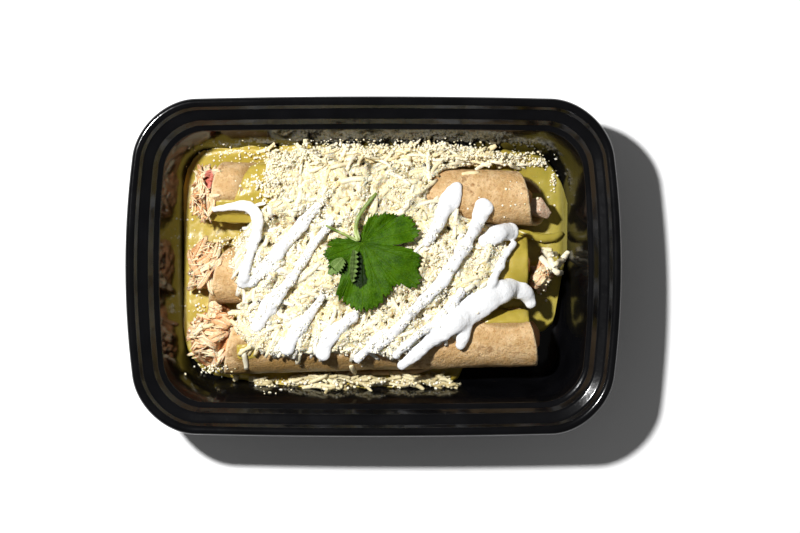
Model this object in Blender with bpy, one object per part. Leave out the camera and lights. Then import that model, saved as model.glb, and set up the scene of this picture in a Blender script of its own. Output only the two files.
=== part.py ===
"""Three rolled chicken enchiladas in a black plastic meal tray.

The tray holds green sauce, the three rolls with their shredded filling, a
blanket of grated cheese with cream drizzled over it, and a coriander sprig.
Metres, +Z up. The origin is under the middle of the tray, +X runs along its
length, and -Y is the side of the roll whose flap lies open.
"""

import math
import random
from dataclasses import dataclass

import bmesh
import bpy
from mathutils import Matrix, Vector, noise
from mathutils.bvhtree import BVHTree

MM = 0.001
GAP = 0.4 * MM

# Tray: outer size over the rim, and how its outline rounds and bows.
TRAY_LENGTH = 222.2 * MM
TRAY_WIDTH = 152.4 * MM
TRAY_HEIGHT = 45.0 * MM
TRAY_CORNER = 26.0 * MM
CORNER_SHARE = 0.6
SHORT_SIDE_BOW = 405.0 * MM
LONG_SIDE_BOW = 3600.0 * MM
CORNER_STEPS = 6
SIDE_STEPS = 4
# Each profile point is (inset from the outer edge, depth below the rim) in mm.
OUTSIDE_PROFILE = (
    (26.4, 45.0), (23.3, 43.4), (21.6, 38.9), (13.8, 10.5), (11.6, 9.6), (9.2, 5.4),
    (5.0, 4.4), (3.3, 1.4), (2.1, 0.9), (0.9, 2.0), (0.8, 6.0), (0.0, 6.0),
)
INSIDE_PROFILE = (
    (0.0, 1.6), (0.7, 0.4), (2.0, 0.0), (3.7, 0.5), (5.6, 3.6), (9.6, 4.6),
    (12.2, 8.8), (14.4, 9.6), (22.4, 38.5), (24.0, 42.6), (27.0, 44.2),
)
FLOOR_TOP = TRAY_HEIGHT - INSIDE_PROFILE[-1][1] * MM

# Tortilla: a round sheet, rolled up into a loose spiral.
TORTILLA_THICKNESS = 1.8 * MM
TORTILLA_PITCH = 2.3 * MM
SHEET_SHARE = 0.98
SHEET_STEPS_AROUND = 30
SHEET_STEPS_ALONG = 4
ROLL_WIDEN = 1.04
ROLL_FLATTEN = 0.94
ROLL_RIPPLE = 0.3 * MM
SAUCE_FILM = 1.0 * MM
FLAP_START = 1.2

# Filling: its strips, and torn chunks as (roll, x, y, z, radius) in mm.
CHICKEN_WIDTH = 3.3 * MM
CHUNKS = (
    ("1", 76.3, 27.8, 15.0, 5.7), ("2", 75.0, -2.6, 13.8, 3.8), ("2", 78.2, -5.6, 11.8, 3.0),
    ("1", -79.5, 36.0, 13.0, 4.0), ("2", -80.0, -3.5, 12.5, 4.2), ("3", -71.5, -38.0, 14.0, 4.6),
)

# Grated cheese and its crumbs.
CHEESE_WIDTH = 2.2 * MM
CHEESE_THICKNESS = 1.5 * MM
STEEPEST_SHRED = 4.0 * MM
CRUMB_RADIUS = 1.2 * MM

# Sauce: its top at the open ends, and where it climbs the long walls.
SAUCE_LEVEL = 6.5 * MM
SAUCE_BACK_RISE = 9.0 * MM
SAUCE_FRONT_RISE = 4.0 * MM
# Sauce outline, as rows of (x, lowest y, highest y) in mm.
SAUCE_EDGE = (
    (-88.0, -28.0, 36.0), (-86.5, -39.5, 44.5), (-83.0, -46.5, 50.0), (-79.0, -50.5, 53.0),
    (-74.0, -53.6, 54.4), (-60.0, -55.0, 55.0), (-30.0, -55.5, 55.5), (0.0, -55.5, 55.5),
    (34.0, -54.5, 55.0), (39.0, -52.0, 54.5), (42.0, -45.0, 54.2), (46.0, -37.0, 54.0),
    (60.0, -33.0, 53.5), (73.0, -31.5, 52.0), (79.0, -30.0, 48.5), (83.0, -26.5, 44.0),
    (86.5, -6.0, 38.0), (89.0, 6.0, 29.0),
)
SAUCE_ROWS = 17

# Cheese blanket outline, as rows of (y, lowest x, highest x) in mm.
BLANKET_EDGE = (
    (-39.5, -46.0, 12.0), (-37.0, -56.0, 22.0), (-28.5, -63.0, 42.0), (-15.0, -60.5, 48.0),
    (3.0, -64.0, 60.0), (8.0, -63.0, 61.5), (16.5, -60.0, 57.0), (24.0, -52.0, 36.0),
    (30.0, -47.0, 24.0), (39.0, -48.0, 25.0), (44.0, -49.0, 31.0), (48.0, -50.0, 50.0),
    (53.0, -50.0, 56.0),
)
BLANKET_ROWS = 17
BLANKET_COLUMNS = 12
BLANKET_THICKNESS = 2.4 * MM
BLANKET_LOWEST = 21.0 * MM
BLANKET_SHREDS = 30
BLANKET_CRUMBS = 12

# Runs of cream, as points of (x, y, width) in mm.
CREAM_RUNS = (
    ((-72.5, 26.0, 3.0), (-66.0, 27.0, 4.0), (-57.5, 28.0, 5.5), (-52.5, 24.0, 6.5), (-52.5, 17.0, 5.5),
     (-54.5, 9.0, 4.5), (-57.5, 0.5, 4.5), (-59.0, -7.0, 6.0)),
    ((-25.0, 27.5, 4.0), (-30.0, 22.5, 5.5), (-36.0, 15.0, 6.0), (-42.0, 8.0, 6.0), (-49.5, -1.5, 5.5),
     (-55.5, -7.5, 5.0)),
    ((-19.5, 20.0, 3.5), (-26.5, 10.5, 4.0), (-31.5, 3.0, 4.0), (-36.0, -4.5, 4.5), (-42.0, -11.5, 5.0),
     (-48.5, -19.0, 7.5), (-52.5, -27.0, 6.0)),
    ((-23.0, -13.5, 3.5), (-29.5, -22.5, 4.5), (-35.5, -30.0, 7.0), (-39.0, -37.0, 6.5)),
    ((-9.5, -23.0, 5.0), (-16.0, -27.5, 5.5), (-21.5, -33.0, 7.0), (-23.0, -39.5, 6.5)),
    ((5.0, -29.5, 4.0), (-1.5, -36.0, 4.0), (-7.0, -41.5, 4.5)),
    ((37.5, 35.0, 5.5), (32.5, 27.5, 6.5), (29.0, 18.5, 5.5), (24.0, 10.5, 4.0)),
    ((49.0, 23.5, 7.5), (44.5, 15.0, 5.5), (38.0, 4.0, 6.0), (30.0, -8.0, 6.0), (18.0, -20.0, 5.0),
     (8.5, -30.5, 5.0), (0.0, -37.5, 4.0)),
    ((62.5, 15.0, 6.0), (56.0, 15.5, 7.5), (50.0, 11.5, 5.0)),
    ((63.5, 10.5, 3.0), (58.0, 2.5, 4.0), (54.0, -6.5, 4.0), (51.0, -13.5, 4.0)),
    ((71.5, -18.0, 4.5), (68.5, -11.5, 7.0), (61.5, -10.5, 8.0), (52.0, -15.0, 11.0), (42.5, -20.5, 11.0),
     (33.5, -27.0, 8.0), (25.5, -33.5, 6.0), (18.0, -40.5, 6.0), (12.5, -45.0, 4.0)),
    ((42.0, -24.5, 8.0), (39.5, -35.0, 5.5)),
    ((39.5, -11.5, 4.5), (34.5, -18.0, 4.0), (28.0, -25.0, 4.0), (18.5, -32.0, 3.5), (10.0, -40.0, 4.5)),
)
CREAM_HEIGHT = 2.8 * MM
CREAM_DROP = 3.0 * MM

# Coriander leaf: its crown, its outline as (degrees, mm) round the crown, its stems as (x, y, width).
LEAF_CROWN = (-5.0, 10.5)
LEAF_OUTLINE = (
    (-283.0, 12.2), (-270.0, 6.0), (-255.0, 4.6), (-225.0, 4.6), (-198.0, 8.1), (-190.0, 12.8),
    (-180.0, 15.5), (-167.0, 17.5), (-146.0, 18.5), (-132.0, 17.0), (-123.0, 17.5), (-118.0, 25.0),
    (-112.0, 28.5), (-104.0, 28.2), (-89.0, 31.2), (-78.0, 29.6), (-63.5, 26.5), (-54.0, 24.0),
    (-49.5, 25.0), (-45.0, 29.0), (-38.0, 32.0), (-30.0, 30.2), (-20.0, 28.0), (-12.0, 26.5),
    (-7.0, 22.5), (-3.0, 15.0), (2.0, 22.5), (8.0, 25.8), (16.0, 26.6), (32.0, 23.4), (47.0, 18.6),
    (62.0, 15.2), (77.0, 12.2),
)
LEAF_RAYS = 60
LEAF_SHARES = (0.0, 0.38, 0.7, 1.0)
LEAF_THICKNESS = 0.6 * MM
MAIN_STEM = ((-6.5, 11.5, 1.8), (-8.2, 15.5, 1.8), (-7.8, 21.2, 1.6), (-4.0, 27.0, 1.4), (1.2, 33.0, 1.3))
SIDE_STEM = ((-7.0, 11.6, 1.2), (-10.9, 13.5, 1.2), (-16.0, 15.8, 0.9), (-21.5, 18.5, 0.6))
CURLED_LEAFLET = ((-8.6, 7.5, 2.6), (-9.4, 3.5, 3.8), (-9.4, -1.5, 3.4), (-9.0, -5.5, 1.4))

# Name, colour, roughness of each finish.
FINISHES = {
    "tray": ("black_plastic", (0.006, 0.006, 0.007, 1.0), 0.22),
    "salsa": ("green_sauce", (0.50, 0.42, 0.10, 1.0), 0.25),
    "tortilla": ("corn_tortilla", (0.70, 0.46, 0.22, 1.0), 0.65),
    "filling": ("shredded_chicken", (0.74, 0.50, 0.36, 1.0), 0.55),
    "cheese": ("grated_cheese", (0.88, 0.82, 0.60, 1.0), 0.55),
    "coriander": ("coriander", (0.07, 0.22, 0.02, 1.0), 0.45),
}


@dataclass(frozen=True)
class Roll:
    """One enchilada: its place and sheet radius in mm, and how its tortilla is rolled."""

    name: str
    x: float
    y: float
    slant: float
    sheet: float
    first_turn: float
    seam: float
    flap_lift: float
    lip_reach: float
    left_strips: int
    right_strips: int

    def angle_at(self, arc):
        """Spiral angle at a distance along the sheet from its middle."""
        run = arc + self.sheet * MM * SHEET_SHARE
        start = self.first_turn * MM
        grown = math.sqrt(start * start + TORTILLA_PITCH * run / math.pi)
        return (grown - start) * 2.0 * math.pi / TORTILLA_PITCH

    def turn(self):
        """Angle of the whole spiral, in radians."""
        return self.angle_at(self.sheet * MM * SHEET_SHARE)

    def outer_radius(self):
        """Outer radius of the finished roll before it is flattened."""
        spiral = self.first_turn * MM + TORTILLA_PITCH * self.turn() / (2.0 * math.pi)
        return spiral + TORTILLA_THICKNESS / 2.0

    def core_radius(self):
        """Radius of the filling inside the first turn."""
        return self.first_turn * MM - TORTILLA_THICKNESS / 2.0 - ROLL_RIPPLE - GAP

    def axis(self, x):
        """Point on the roll's axis at a given x."""
        bed = FLOOR_TOP + 2.0 * GAP + SAUCE_FILM
        height = bed + ROLL_FLATTEN * (self.outer_radius() + ROLL_RIPPLE)
        return Vector((x, (self.y + self.slant * (x / MM - self.x)) * MM, height))

    def around(self, x, angle, radius):
        """Point at an angle round the axis: 0 is the front, 90 degrees the top."""
        place = Vector((x / (16.0 * MM), 1.4 * math.cos(angle), 1.4 * math.sin(angle) + self.y))
        out = radius + ROLL_RIPPLE * noise.noise(place)
        across, up = -ROLL_WIDEN * math.cos(angle), ROLL_FLATTEN * math.sin(angle)
        return self.axis(x) + Vector((0.0, across, up)) * out

    def sheet_point(self, arc, along, side):
        """Point of the rolled sheet: arc across it, along from -1 to 1, side from -1 to 1."""
        lip = self.lip_reach * math.exp(-(((arc / MM + 22.0) / 13.0) ** 2)) * max(along, 0.0) ** 3
        x = self.x * MM + along * math.sqrt((self.sheet * MM) ** 2 - arc**2) + lip * MM
        theta = self.angle_at(arc)
        free = max(0.0, 1.0 - (self.turn() - theta) / FLAP_START) ** 1.5
        radius = self.first_turn * MM + TORTILLA_PITCH * theta / (2.0 * math.pi)
        radius += (self.flap_lift * free + 0.15 * lip) * MM
        angle = math.radians(self.seam) + theta - self.turn()
        return self.around(x, angle, radius + side * TORTILLA_THICKNESS / 2.0)


ROLLS = (
    Roll("1", -1.6, 32.9, -0.03, 73.0, 7.9, 20.0, 0.2, 12.0, 8, 0),
    Roll("2", -2.7, -2.2, 0.038, 73.0, 8.3, -30.0, 0.2, 0.0, 8, 0),
    Roll("3", 3.2, -34.4, 0.027, 71.5, 9.2, -25.0, 2.6, 0.0, 9, 0),
)


def finish_for(name):
    """The material of a node, made once from the table of finishes."""
    label, colour, roughness = FINISHES[name.split("_")[0]]
    found = bpy.data.materials.get(label)
    if found:
        return found
    material = bpy.data.materials.new(label)
    material.use_nodes = True
    shader = material.node_tree.nodes["Principled BSDF"]
    shader.inputs["Base Color"].default_value = colour
    shader.inputs["Roughness"].default_value = roughness
    shader.inputs["Metallic"].default_value = 0.0
    return material


def solid(name, points, faces, collection=None):
    """An object from points and faces, with its normals turned outwards."""
    mesh = bpy.data.meshes.new(name)
    mesh.from_pydata([tuple(p) for p in points], [], faces)
    shape = bmesh.new()
    shape.from_mesh(mesh)
    bmesh.ops.remove_doubles(shape, verts=shape.verts, dist=0.002 * MM)
    bmesh.ops.recalc_face_normals(shape, faces=shape.faces)
    shape.to_mesh(mesh)
    shape.free()
    made = bpy.data.objects.new(name, mesh)
    (collection or bpy.context.scene.collection).objects.link(made)
    return made


def loft(name, rings, collection=None):
    """A closed solid through rings of equal length, capped at both ends."""
    count = len(rings[0])
    points = [p for ring in rings for p in ring]
    faces = [tuple(range(count)), tuple(range(len(points) - count, len(points)))]
    for level in range(len(rings) - 1):
        first = level * count
        for k in range(count):
            after = (k + 1) % count
            faces.append((first + k, first + after, first + count + after, first + count + k))
    return solid(name, points, faces, collection)


def slab(name, top, bottom, collection=None, disc=False):
    """A closed solid between two grids, both split into triangles alike.

    A disc has its rows run out from one centre, and its last row meets its first.
    """
    rows, columns = len(top), len(top[0])
    under = rows * columns
    points = [p for row in top for p in row] + [p for row in bottom for p in row]
    faces = []
    for i in range(rows if disc else rows - 1):
        for j in range(columns - 1):
            a, d = i * columns + j, (i + 1) % rows * columns + j
            for corner in ((a, a + 1, d + 1), (a, d + 1, d)):
                faces.append(corner)
                faces.append(tuple(under + k for k in reversed(corner)))
    rim = [i * columns + columns - 1 for i in range(rows)]
    if not disc:
        rim = list(range(columns - 1)) + rim
        rim += [(rows - 1) * columns + j for j in range(columns - 2, -1, -1)]
        rim += [i * columns for i in range(rows - 2, 0, -1)]
    for k, a in enumerate(rim):
        b = rim[(k + 1) % len(rim)]
        faces.append((a, under + b, b))
        faces.append((a, under + a, under + b))
    return solid(name, points, faces, collection)


def strip(name, path, widths, heights, sides, collection):
    """A tapering bar with flat sides along a path of points."""
    rings = []
    for k, place in enumerate(path):
        before, after = path[max(k - 1, 0)], path[min(k + 1, len(path) - 1)]
        ahead = (after - before).normalized()
        across = ahead.cross(Vector((0.0, 0.0, 1.0)))
        if across.length < 0.1:
            across = Vector((0.0, 1.0, 0.0))
        across.normalize()
        up = across.cross(ahead)
        ring = []
        for n in range(sides):
            turn = 2.0 * math.pi * (n + 0.5) / sides
            ring.append(
                place
                + across * (0.5 * widths[k] * math.cos(turn))
                + up * (0.5 * heights[k] * math.sin(turn))
            )
        rings.append(ring)
    return loft(name, rings, collection)


def lump(place, radius, rng, collection):
    """A small irregular lump."""
    shape = bmesh.new()
    bmesh.ops.create_icosphere(shape, subdivisions=1, radius=radius)
    for vertex in shape.verts:
        vertex.co *= rng.uniform(0.75, 1.15)
    bmesh.ops.translate(shape, verts=shape.verts, vec=place)
    mesh = bpy.data.meshes.new("lump")
    shape.to_mesh(mesh)
    shape.free()
    made = bpy.data.objects.new("lump", mesh)
    collection.objects.link(made)


def keep_largest_shell(mesh):
    """Drops loose scraps and sealed hollows, which leaves one outer skin."""
    shape = bmesh.new()
    shape.from_mesh(mesh)
    bmesh.ops.triangulate(shape, faces=shape.faces)
    unseen = set(shape.verts)
    shells = []
    while unseen:
        stack = [unseen.pop()]
        shell = set(stack)
        while stack:
            for edge in stack.pop().link_edges:
                for vertex in edge.verts:
                    if vertex in unseen:
                        unseen.discard(vertex)
                        shell.add(vertex)
                        stack.append(vertex)
        shells.append(shell)
    keep = max(shells, key=len)
    bmesh.ops.delete(shape, geom=[v for v in shape.verts if v not in keep], context="VERTS")
    shape.to_mesh(mesh)
    shape.free()


def fuse(base, collection):
    """Joins every object of a collection to the base, then removes them."""
    joiner = base.modifiers.new("fuse", "BOOLEAN")
    joiner.operation = "UNION"
    joiner.operand_type = "COLLECTION"
    joiner.collection = collection
    joiner.solver = "MANIFOLD"
    bpy.context.view_layer.update()
    evaluated = base.evaluated_get(bpy.context.evaluated_depsgraph_get())
    fused = bpy.data.meshes.new_from_object(evaluated)
    base.modifiers.clear()
    base.data = fused
    keep_largest_shell(fused)
    for piece in list(collection.objects):
        bpy.data.objects.remove(piece)
    bpy.data.collections.remove(collection)
    base.data.materials.clear()


def bundle(name):
    """An empty collection for the pieces that are fused to a core."""
    made = bpy.data.collections.new(name)
    bpy.context.scene.collection.children.link(made)
    return made


class Surroundings:
    """Heights of what already lies in the tray, read straight down or straight up."""

    def __init__(self, objects):
        shape = bmesh.new()
        for item in objects:
            shape.from_mesh(item.data)
        self.tree = BVHTree.FromBMesh(shape)
        shape.free()

    def read(self, x, y, spread_x, spread_y, start, way):
        """Surface heights met by rays in a small rectangle round a point."""
        found = []
        for dx in {-spread_x, 0.0, spread_x}:
            for dy in {-spread_y, 0.0, spread_y}:
                hit = self.tree.ray_cast(Vector((x + dx, y + dy, start)), Vector((0.0, 0.0, way)))
                if hit[0] is not None:
                    found.append(hit[0].z)
        return found

    def height(self, x, y, spread=0.0):
        """Highest surface within the spread of a point."""
        return max(self.read(x, y, spread, spread, 2.0 * TRAY_HEIGHT, -1.0), default=0.0)

    def ceiling(self, x, y, spread_x, spread_y):
        """Lowest underside within the spreads of a point."""
        return min(self.read(x, y, spread_x, spread_y, 0.0, 1.0), default=TRAY_HEIGHT)


class Bed:
    """A core with what lies below it: pieces sink into the core and stay clear of the rest."""

    def __init__(self, below, core):
        self.below = Surroundings(below)
        self.surface = Surroundings(below + [core])

    def rest(self, x, y, spread, height):
        """Height of the middle of a piece laid at a point."""
        sunk = self.surface.height(x, y) + 0.3 * height
        clear = self.below.height(x, y, spread) + GAP + 0.5 * height
        return max(sunk, clear)


def between(rows, value, column):
    """Value of a column in a table of rows, blended between its rows."""
    for low, high in zip(rows, rows[1:]):
        if low[0] <= value <= high[0]:
            share = (value - low[0]) / (high[0] - low[0])
            return low[column] + share * (high[column] - low[column])
    return rows[0][column] if value < rows[0][0] else rows[-1][column]


def tray_ring(inset, depth):
    """One ring of the tray: a rounded rectangle whose sides bow outwards."""
    half_x = TRAY_LENGTH / 2.0 - inset * MM
    half_y = TRAY_WIDTH / 2.0 - inset * MM
    radius = max(TRAY_CORNER - CORNER_SHARE * inset * MM, 4.0 * MM)
    corners = ((1, 1), (-1, 1), (-1, -1), (1, -1))
    flat = []
    for quarter, (sx, sy) in enumerate(corners):
        centre = (sx * (half_x - radius), sy * (half_y - radius))
        for step in range(CORNER_STEPS + 1):
            turn = math.radians(90.0 * (quarter + step / CORNER_STEPS))
            flat.append((centre[0] + radius * math.cos(turn), centre[1] + radius * math.sin(turn)))
        nx, ny = corners[(quarter + 1) % 4]
        onward = (nx * (half_x - radius), ny * (half_y - radius))
        turn = math.radians(90.0 * (quarter + 1))
        out = (radius * math.cos(turn), radius * math.sin(turn))
        for step in range(1, SIDE_STEPS):
            share = step / SIDE_STEPS
            flat.append(tuple(centre[i] + share * (onward[i] - centre[i]) + out[i] for i in (0, 1)))
    height = TRAY_HEIGHT - depth * MM
    bowed = []
    for x, y in flat:
        across = 1.0 - y * y / (TRAY_LENGTH * SHORT_SIDE_BOW)
        upward = 1.0 - x * x / (TRAY_WIDTH * LONG_SIDE_BOW)
        bowed.append(Vector((x * across, y * upward, height)))
    return bowed


def make_tray():
    """The tray, as one thin wall with a rolled rim and a lid seat."""
    rings = [tray_ring(inset, depth) for inset, depth in OUTSIDE_PROFILE + INSIDE_PROFILE]
    return loft("tray", rings)


def make_tortilla(roll):
    """The rolled tortilla: its round edge gives the ends their curve."""
    limit = roll.sheet * MM * SHEET_SHARE
    outer, inner = [], []
    for i in range(SHEET_STEPS_AROUND + 1):
        arc = -limit + 2.0 * limit * i / SHEET_STEPS_AROUND
        places = [-1.0 + 2.0 * j / SHEET_STEPS_ALONG for j in range(SHEET_STEPS_ALONG + 1)]
        outer.append([roll.sheet_point(arc, along, 1.0) for along in places])
        inner.append([roll.sheet_point(arc, along, -1.0) for along in places])
    return slab("tortilla_" + roll.name, outer, inner)


def sauce_height(x, y):
    """Top of the sauce, which climbs towards the two long walls."""
    back = min(1.0, max(0.0, (y - 40.0 * MM) / (14.0 * MM)))
    front = min(1.0, max(0.0, (-y - 49.0 * MM) / (6.0 * MM)))
    middle = 1.0 - min(1.0, abs(x) / (95.0 * MM)) ** 3
    lump = 0.5 * MM * noise.noise(Vector((x, y, 0.0)) / (12.0 * MM))
    return SAUCE_LEVEL + (SAUCE_BACK_RISE * back + SAUCE_FRONT_RISE * front) * middle + lump


def roll_roof(x, y):
    """Underside of the round rolls above a point."""
    lowest = TRAY_HEIGHT
    for roll in ROLLS:
        middle, radius = roll.axis(x), roll.outer_radius() + ROLL_RIPPLE
        across = (y - middle.y) / (ROLL_WIDEN * radius + GAP)
        if abs(x - roll.x * MM) < roll.sheet * MM + 2.0 * GAP and abs(across) < 1.0:
            lowest = min(lowest, middle.z - ROLL_FLATTEN * radius * math.sqrt(1.0 - across**2))
    return lowest


def make_sauce(tray, tortillas):
    """The pool of sauce, shaped to the tray below and the rolls above."""
    wall, rolls = Surroundings([tray]), Surroundings(tortillas)
    top, bottom = [], []
    for x, low, high in SAUCE_EDGE:
        reach = (12.0 if abs(x) < 50.0 else 4.0) * MM
        top_row, bottom_row = [], []
        for j in range(SAUCE_ROWS + 1):
            y = low + (high - low) * j / SAUCE_ROWS
            place = (x * MM, y * MM)
            base = wall.height(*place, spread=1.0 * MM) + GAP
            roof = min(roll_roof(*place), rolls.ceiling(*place, reach, 5.5 * MM)) - 2.0 * GAP
            edge = j in (0, SAUCE_ROWS) or x in (SAUCE_EDGE[0][0], SAUCE_EDGE[-1][0])
            level = base + 1.0 * MM if edge else max(min(sauce_height(*place), roof), base + 0.6 * MM)
            bottom_row.append(Vector((*place, base)))
            top_row.append(Vector((*place, level)))
        top.append(top_row)
        bottom.append(bottom_row)
    return slab("salsa", top, bottom)


def make_filling(roll, rng):
    """Shredded filling that runs through a roll and spills from its ends."""
    half = (roll.sheet + 2.0) * MM
    radius = roll.core_radius()
    shares = ((-1.0, 0.5), (-0.96, 0.9), (-0.5, 1.0), (0.0, 0.92), (0.5, 1.0), (0.96, 0.9), (1.0, 0.5))
    rings = []
    for along, share in shares:
        ring = []
        for k in range(8):
            turn = 2.0 * math.pi * k / 8
            out = radius * share * (0.95 + 0.05 * math.cos(3.0 * turn + 9.0 * along))
            across = Vector((0.0, -ROLL_WIDEN * math.cos(turn), ROLL_FLATTEN * math.sin(turn)))
            ring.append(roll.axis(roll.x * MM + along * half) + across * out)
        rings.append(ring)
    core = loft("filling_" + roll.name, rings)
    pieces = bundle("pieces")
    for end, count in ((-1.0, roll.left_strips), (1.0, roll.right_strips)):
        for k in range(count):
            chicken_strip(roll, end, 2.0 * (k + 0.5) / count - 1.0, half, radius, rng, pieces)
    for name, x, y, z, size in CHUNKS:
        if name == roll.name:
            lump(Vector((x, y, z)) * MM, size * MM, rng, pieces)
    fuse(core, pieces)
    return core


def chicken_strip(roll, end, spread, half, radius, rng, collection):
    """One torn strip that leaves the mouth of a roll and droops over the sauce."""
    root = roll.axis(roll.x * MM + end * (half - 6.0 * MM))
    root += Vector((0.0, 0.5 * spread * radius, rng.uniform(-0.4, 0.4) * radius))
    mouth = root + Vector((end * 7.0 * MM, 0.0, 0.0))
    reach = rng.uniform(4.0, 8.5) * MM * (1.0 - 0.4 * spread**2)
    floor = SAUCE_LEVEL + 3.5 * MM
    tip = mouth + Vector((end * reach, spread * rng.uniform(5.0, 8.0) * MM, rng.uniform(-8.0, 7.0) * MM))
    elbow = (mouth + tip) / 2.0 + Vector((end * 1.5 * MM, 0.0, rng.uniform(-1.0, 2.0) * MM))
    tip.z, elbow.z = max(tip.z, floor), max(elbow.z, floor)
    width = CHICKEN_WIDTH * rng.uniform(0.8, 1.3)
    widths = [0.8 * width, width, 1.1 * width, 0.8 * width]
    heights = [0.6 * width, 0.65 * width, 0.6 * width, 0.45 * width]
    strip("strip", [root, mouth, elbow, tip], widths, heights, 4, collection)


def blanket_grid(ground):
    """Top and underside of the cheese blanket over the rolls, and a height lookup."""
    low, high = BLANKET_EDGE[0][0], BLANKET_EDGE[-1][0]
    top, bottom = [], []
    for i in range(BLANKET_ROWS + 1):
        y = low + (high - low) * i / BLANKET_ROWS
        left, right = between(BLANKET_EDGE, y, 1), between(BLANKET_EDGE, y, 2)
        top_row, bottom_row = [], []
        for j in range(BLANKET_COLUMNS + 1):
            share = j / BLANKET_COLUMNS
            wave = 1.8 * noise.noise(Vector((share * 4.0, y / 6.0, 3.0)))
            place = ((left + (right - left) * share + wave) * MM, (y + 0.6 * wave) * MM)
            rest = ground.height(*place, spread=(2.2 if y > 50.0 else 3.0) * MM) + GAP
            under = rest if y > 46.0 else max(rest, BLANKET_LOWEST)
            bulge = noise.noise(Vector((*place, 0.0)) / (7.0 * MM))
            edge = min(i, BLANKET_ROWS - i, j, BLANKET_COLUMNS - j) == 0
            thick = 1.0 * MM if edge else BLANKET_THICKNESS + 1.0 * MM * bulge
            bottom_row.append(Vector((*place, under)))
            top_row.append(Vector((*place, under + thick)))
        top.append(top_row)
        bottom.append(bottom_row)
    return top, bottom


def in_blanket(x, y, margin):
    """Whether a point lies inside the blanket's outline, by a margin in mm."""
    if not BLANKET_EDGE[0][0] + margin < y < BLANKET_EDGE[-1][0] - margin:
        return False
    return between(BLANKET_EDGE, y, 1) + margin < x < between(BLANKET_EDGE, y, 2) - margin


def cheese_shred(x, y, length, turn, bed, rng, collection):
    """One grated strip that follows the surface below it, left out where it would stand up."""
    heading, bend = rng.uniform(-turn, turn), rng.uniform(-0.5, 0.5)
    path = []
    for step in (-0.5, 0.0, 0.5):
        angle = heading + bend * step
        spot = (x + step * length * math.cos(angle), y + step * length * math.sin(angle))
        path.append(Vector((*spot, bed.rest(*spot, 1.8 * MM, CHEESE_THICKNESS))))
    heights = [spot.z for spot in path]
    if max(heights) - min(heights) > STEEPEST_SHRED:
        return False
    width = CHEESE_WIDTH * rng.uniform(0.75, 1.15)
    strip("shred", path, [width] * 3, [CHEESE_THICKNESS] * 3, 4, collection)
    return True


def cream_run(points, bed, collection):
    """A run of cream with rounded ends, laid over whatever is below it."""
    spots = [Vector(point) * MM for point in points]
    first, last = spots[0], spots[-1]
    before = first - (spots[1] - first).normalized() * (0.4 * first.z)
    after = last + (last - spots[-2]).normalized() * (0.4 * last.z)
    before.z, after.z = 0.45 * first.z, 0.45 * last.z
    path, widths, heights = [], [], []
    for spot in [before] + spots + [after]:
        high = min(0.55 * spot.z, CREAM_HEIGHT)
        path.append(Vector((spot.x, spot.y, bed.rest(spot.x, spot.y, 0.5 * spot.z + 0.6 * MM, high))))
        widths.append(spot.z)
        heights.append(high)
    for k in list(range(1, len(path))) + list(range(len(path) - 2, -1, -1)):
        near = [path[n].z for n in (k - 1, k + 1) if 0 <= n < len(path)]
        path[k].z = max(path[k].z, max(near) - CREAM_DROP)
    strip("cream", path, widths, heights, 5, collection)


def make_topping(below):
    """The cheese blanket with its shreds, crumbs and cream, fused into one."""
    rng = random.Random(21)
    core = slab("cheese_blanket", *blanket_grid(Surroundings(below)))
    bed = Bed(below, core)
    pieces = bundle("topping")
    for points in CREAM_RUNS:
        cream_run(points, bed, pieces)
    for count, margin, lay in ((BLANKET_SHREDS, 4.0, lay_shred), (BLANKET_CRUMBS, 3.0, lay_crumb)):
        placed = 0
        while placed < count:
            x, y = rng.uniform(-62.0, 60.0), rng.uniform(-38.0, 52.0)
            if in_blanket(x, y, margin) and lay(x * MM, y * MM, bed, rng, pieces):
                placed += 1
    fuse(core, pieces)
    return core


def lay_shred(x, y, bed, rng, collection):
    """Lays one grated strip on the blanket."""
    return cheese_shred(x, y, rng.uniform(8.0, 15.0) * MM, math.pi / 2.0, bed, rng, collection)


def lay_crumb(x, y, bed, rng, collection):
    """Lays one crumb on the blanket."""
    radius = CRUMB_RADIUS * rng.uniform(0.8, 1.5)
    lump(Vector((x, y, bed.rest(x, y, radius, radius))), radius, rng, collection)
    return True


def make_loose_cheese(name, centre, reach, cells, count, turn, below, seed):
    """A small heap of grated cheese that lies apart: a low core with shreds on it."""
    rng = random.Random(seed)
    ground = Surroundings(below)
    columns, rows = cells
    top, bottom = [], []
    for i in range(rows + 1):
        top_row, bottom_row = [], []
        for j in range(columns + 1):
            u, v = 2.0 * j / columns - 1.0, 2.0 * i / rows - 1.0
            x = (centre[0] + reach[0] * u) * MM
            y = (centre[1] + reach[1] * v * (1.0 - 0.3 * u * u) + 0.5 * math.sin(5.0 * u)) * MM
            under = ground.height(x, y, spread=2.4 * MM) + GAP
            edge = i in (0, rows) or j in (0, columns)
            bottom_row.append(Vector((x, y, under)))
            top_row.append(Vector((x, y, under + (0.8 if edge else 1.8) * MM)))
        top.append(top_row)
        bottom.append(bottom_row)
    core = slab(name, top, bottom)
    bed = Bed(below, core)
    pieces = bundle(name + "_pieces")
    for k in range(count):
        for _ in range(20):
            x = centre[0] + 0.9 * reach[0] * (2.0 * (k + 0.5) / count - 1.0)
            y = centre[1] + 0.6 * reach[1] * rng.uniform(-1.0, 1.0)
            if cheese_shred(x * MM, y * MM, rng.uniform(6.0, 10.0) * MM, turn, bed, rng, pieces):
                break
    fuse(core, pieces)
    return core


def leaf_reach(angle):
    """Length of the leaf blade in one direction, with its teeth."""
    reach = between(LEAF_OUTLINE, angle, 1)
    tooth = round((angle - LEAF_OUTLINE[0][0]) / 360.0 * LEAF_RAYS) % 2
    return reach * (1.0 if tooth else 0.93)


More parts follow.
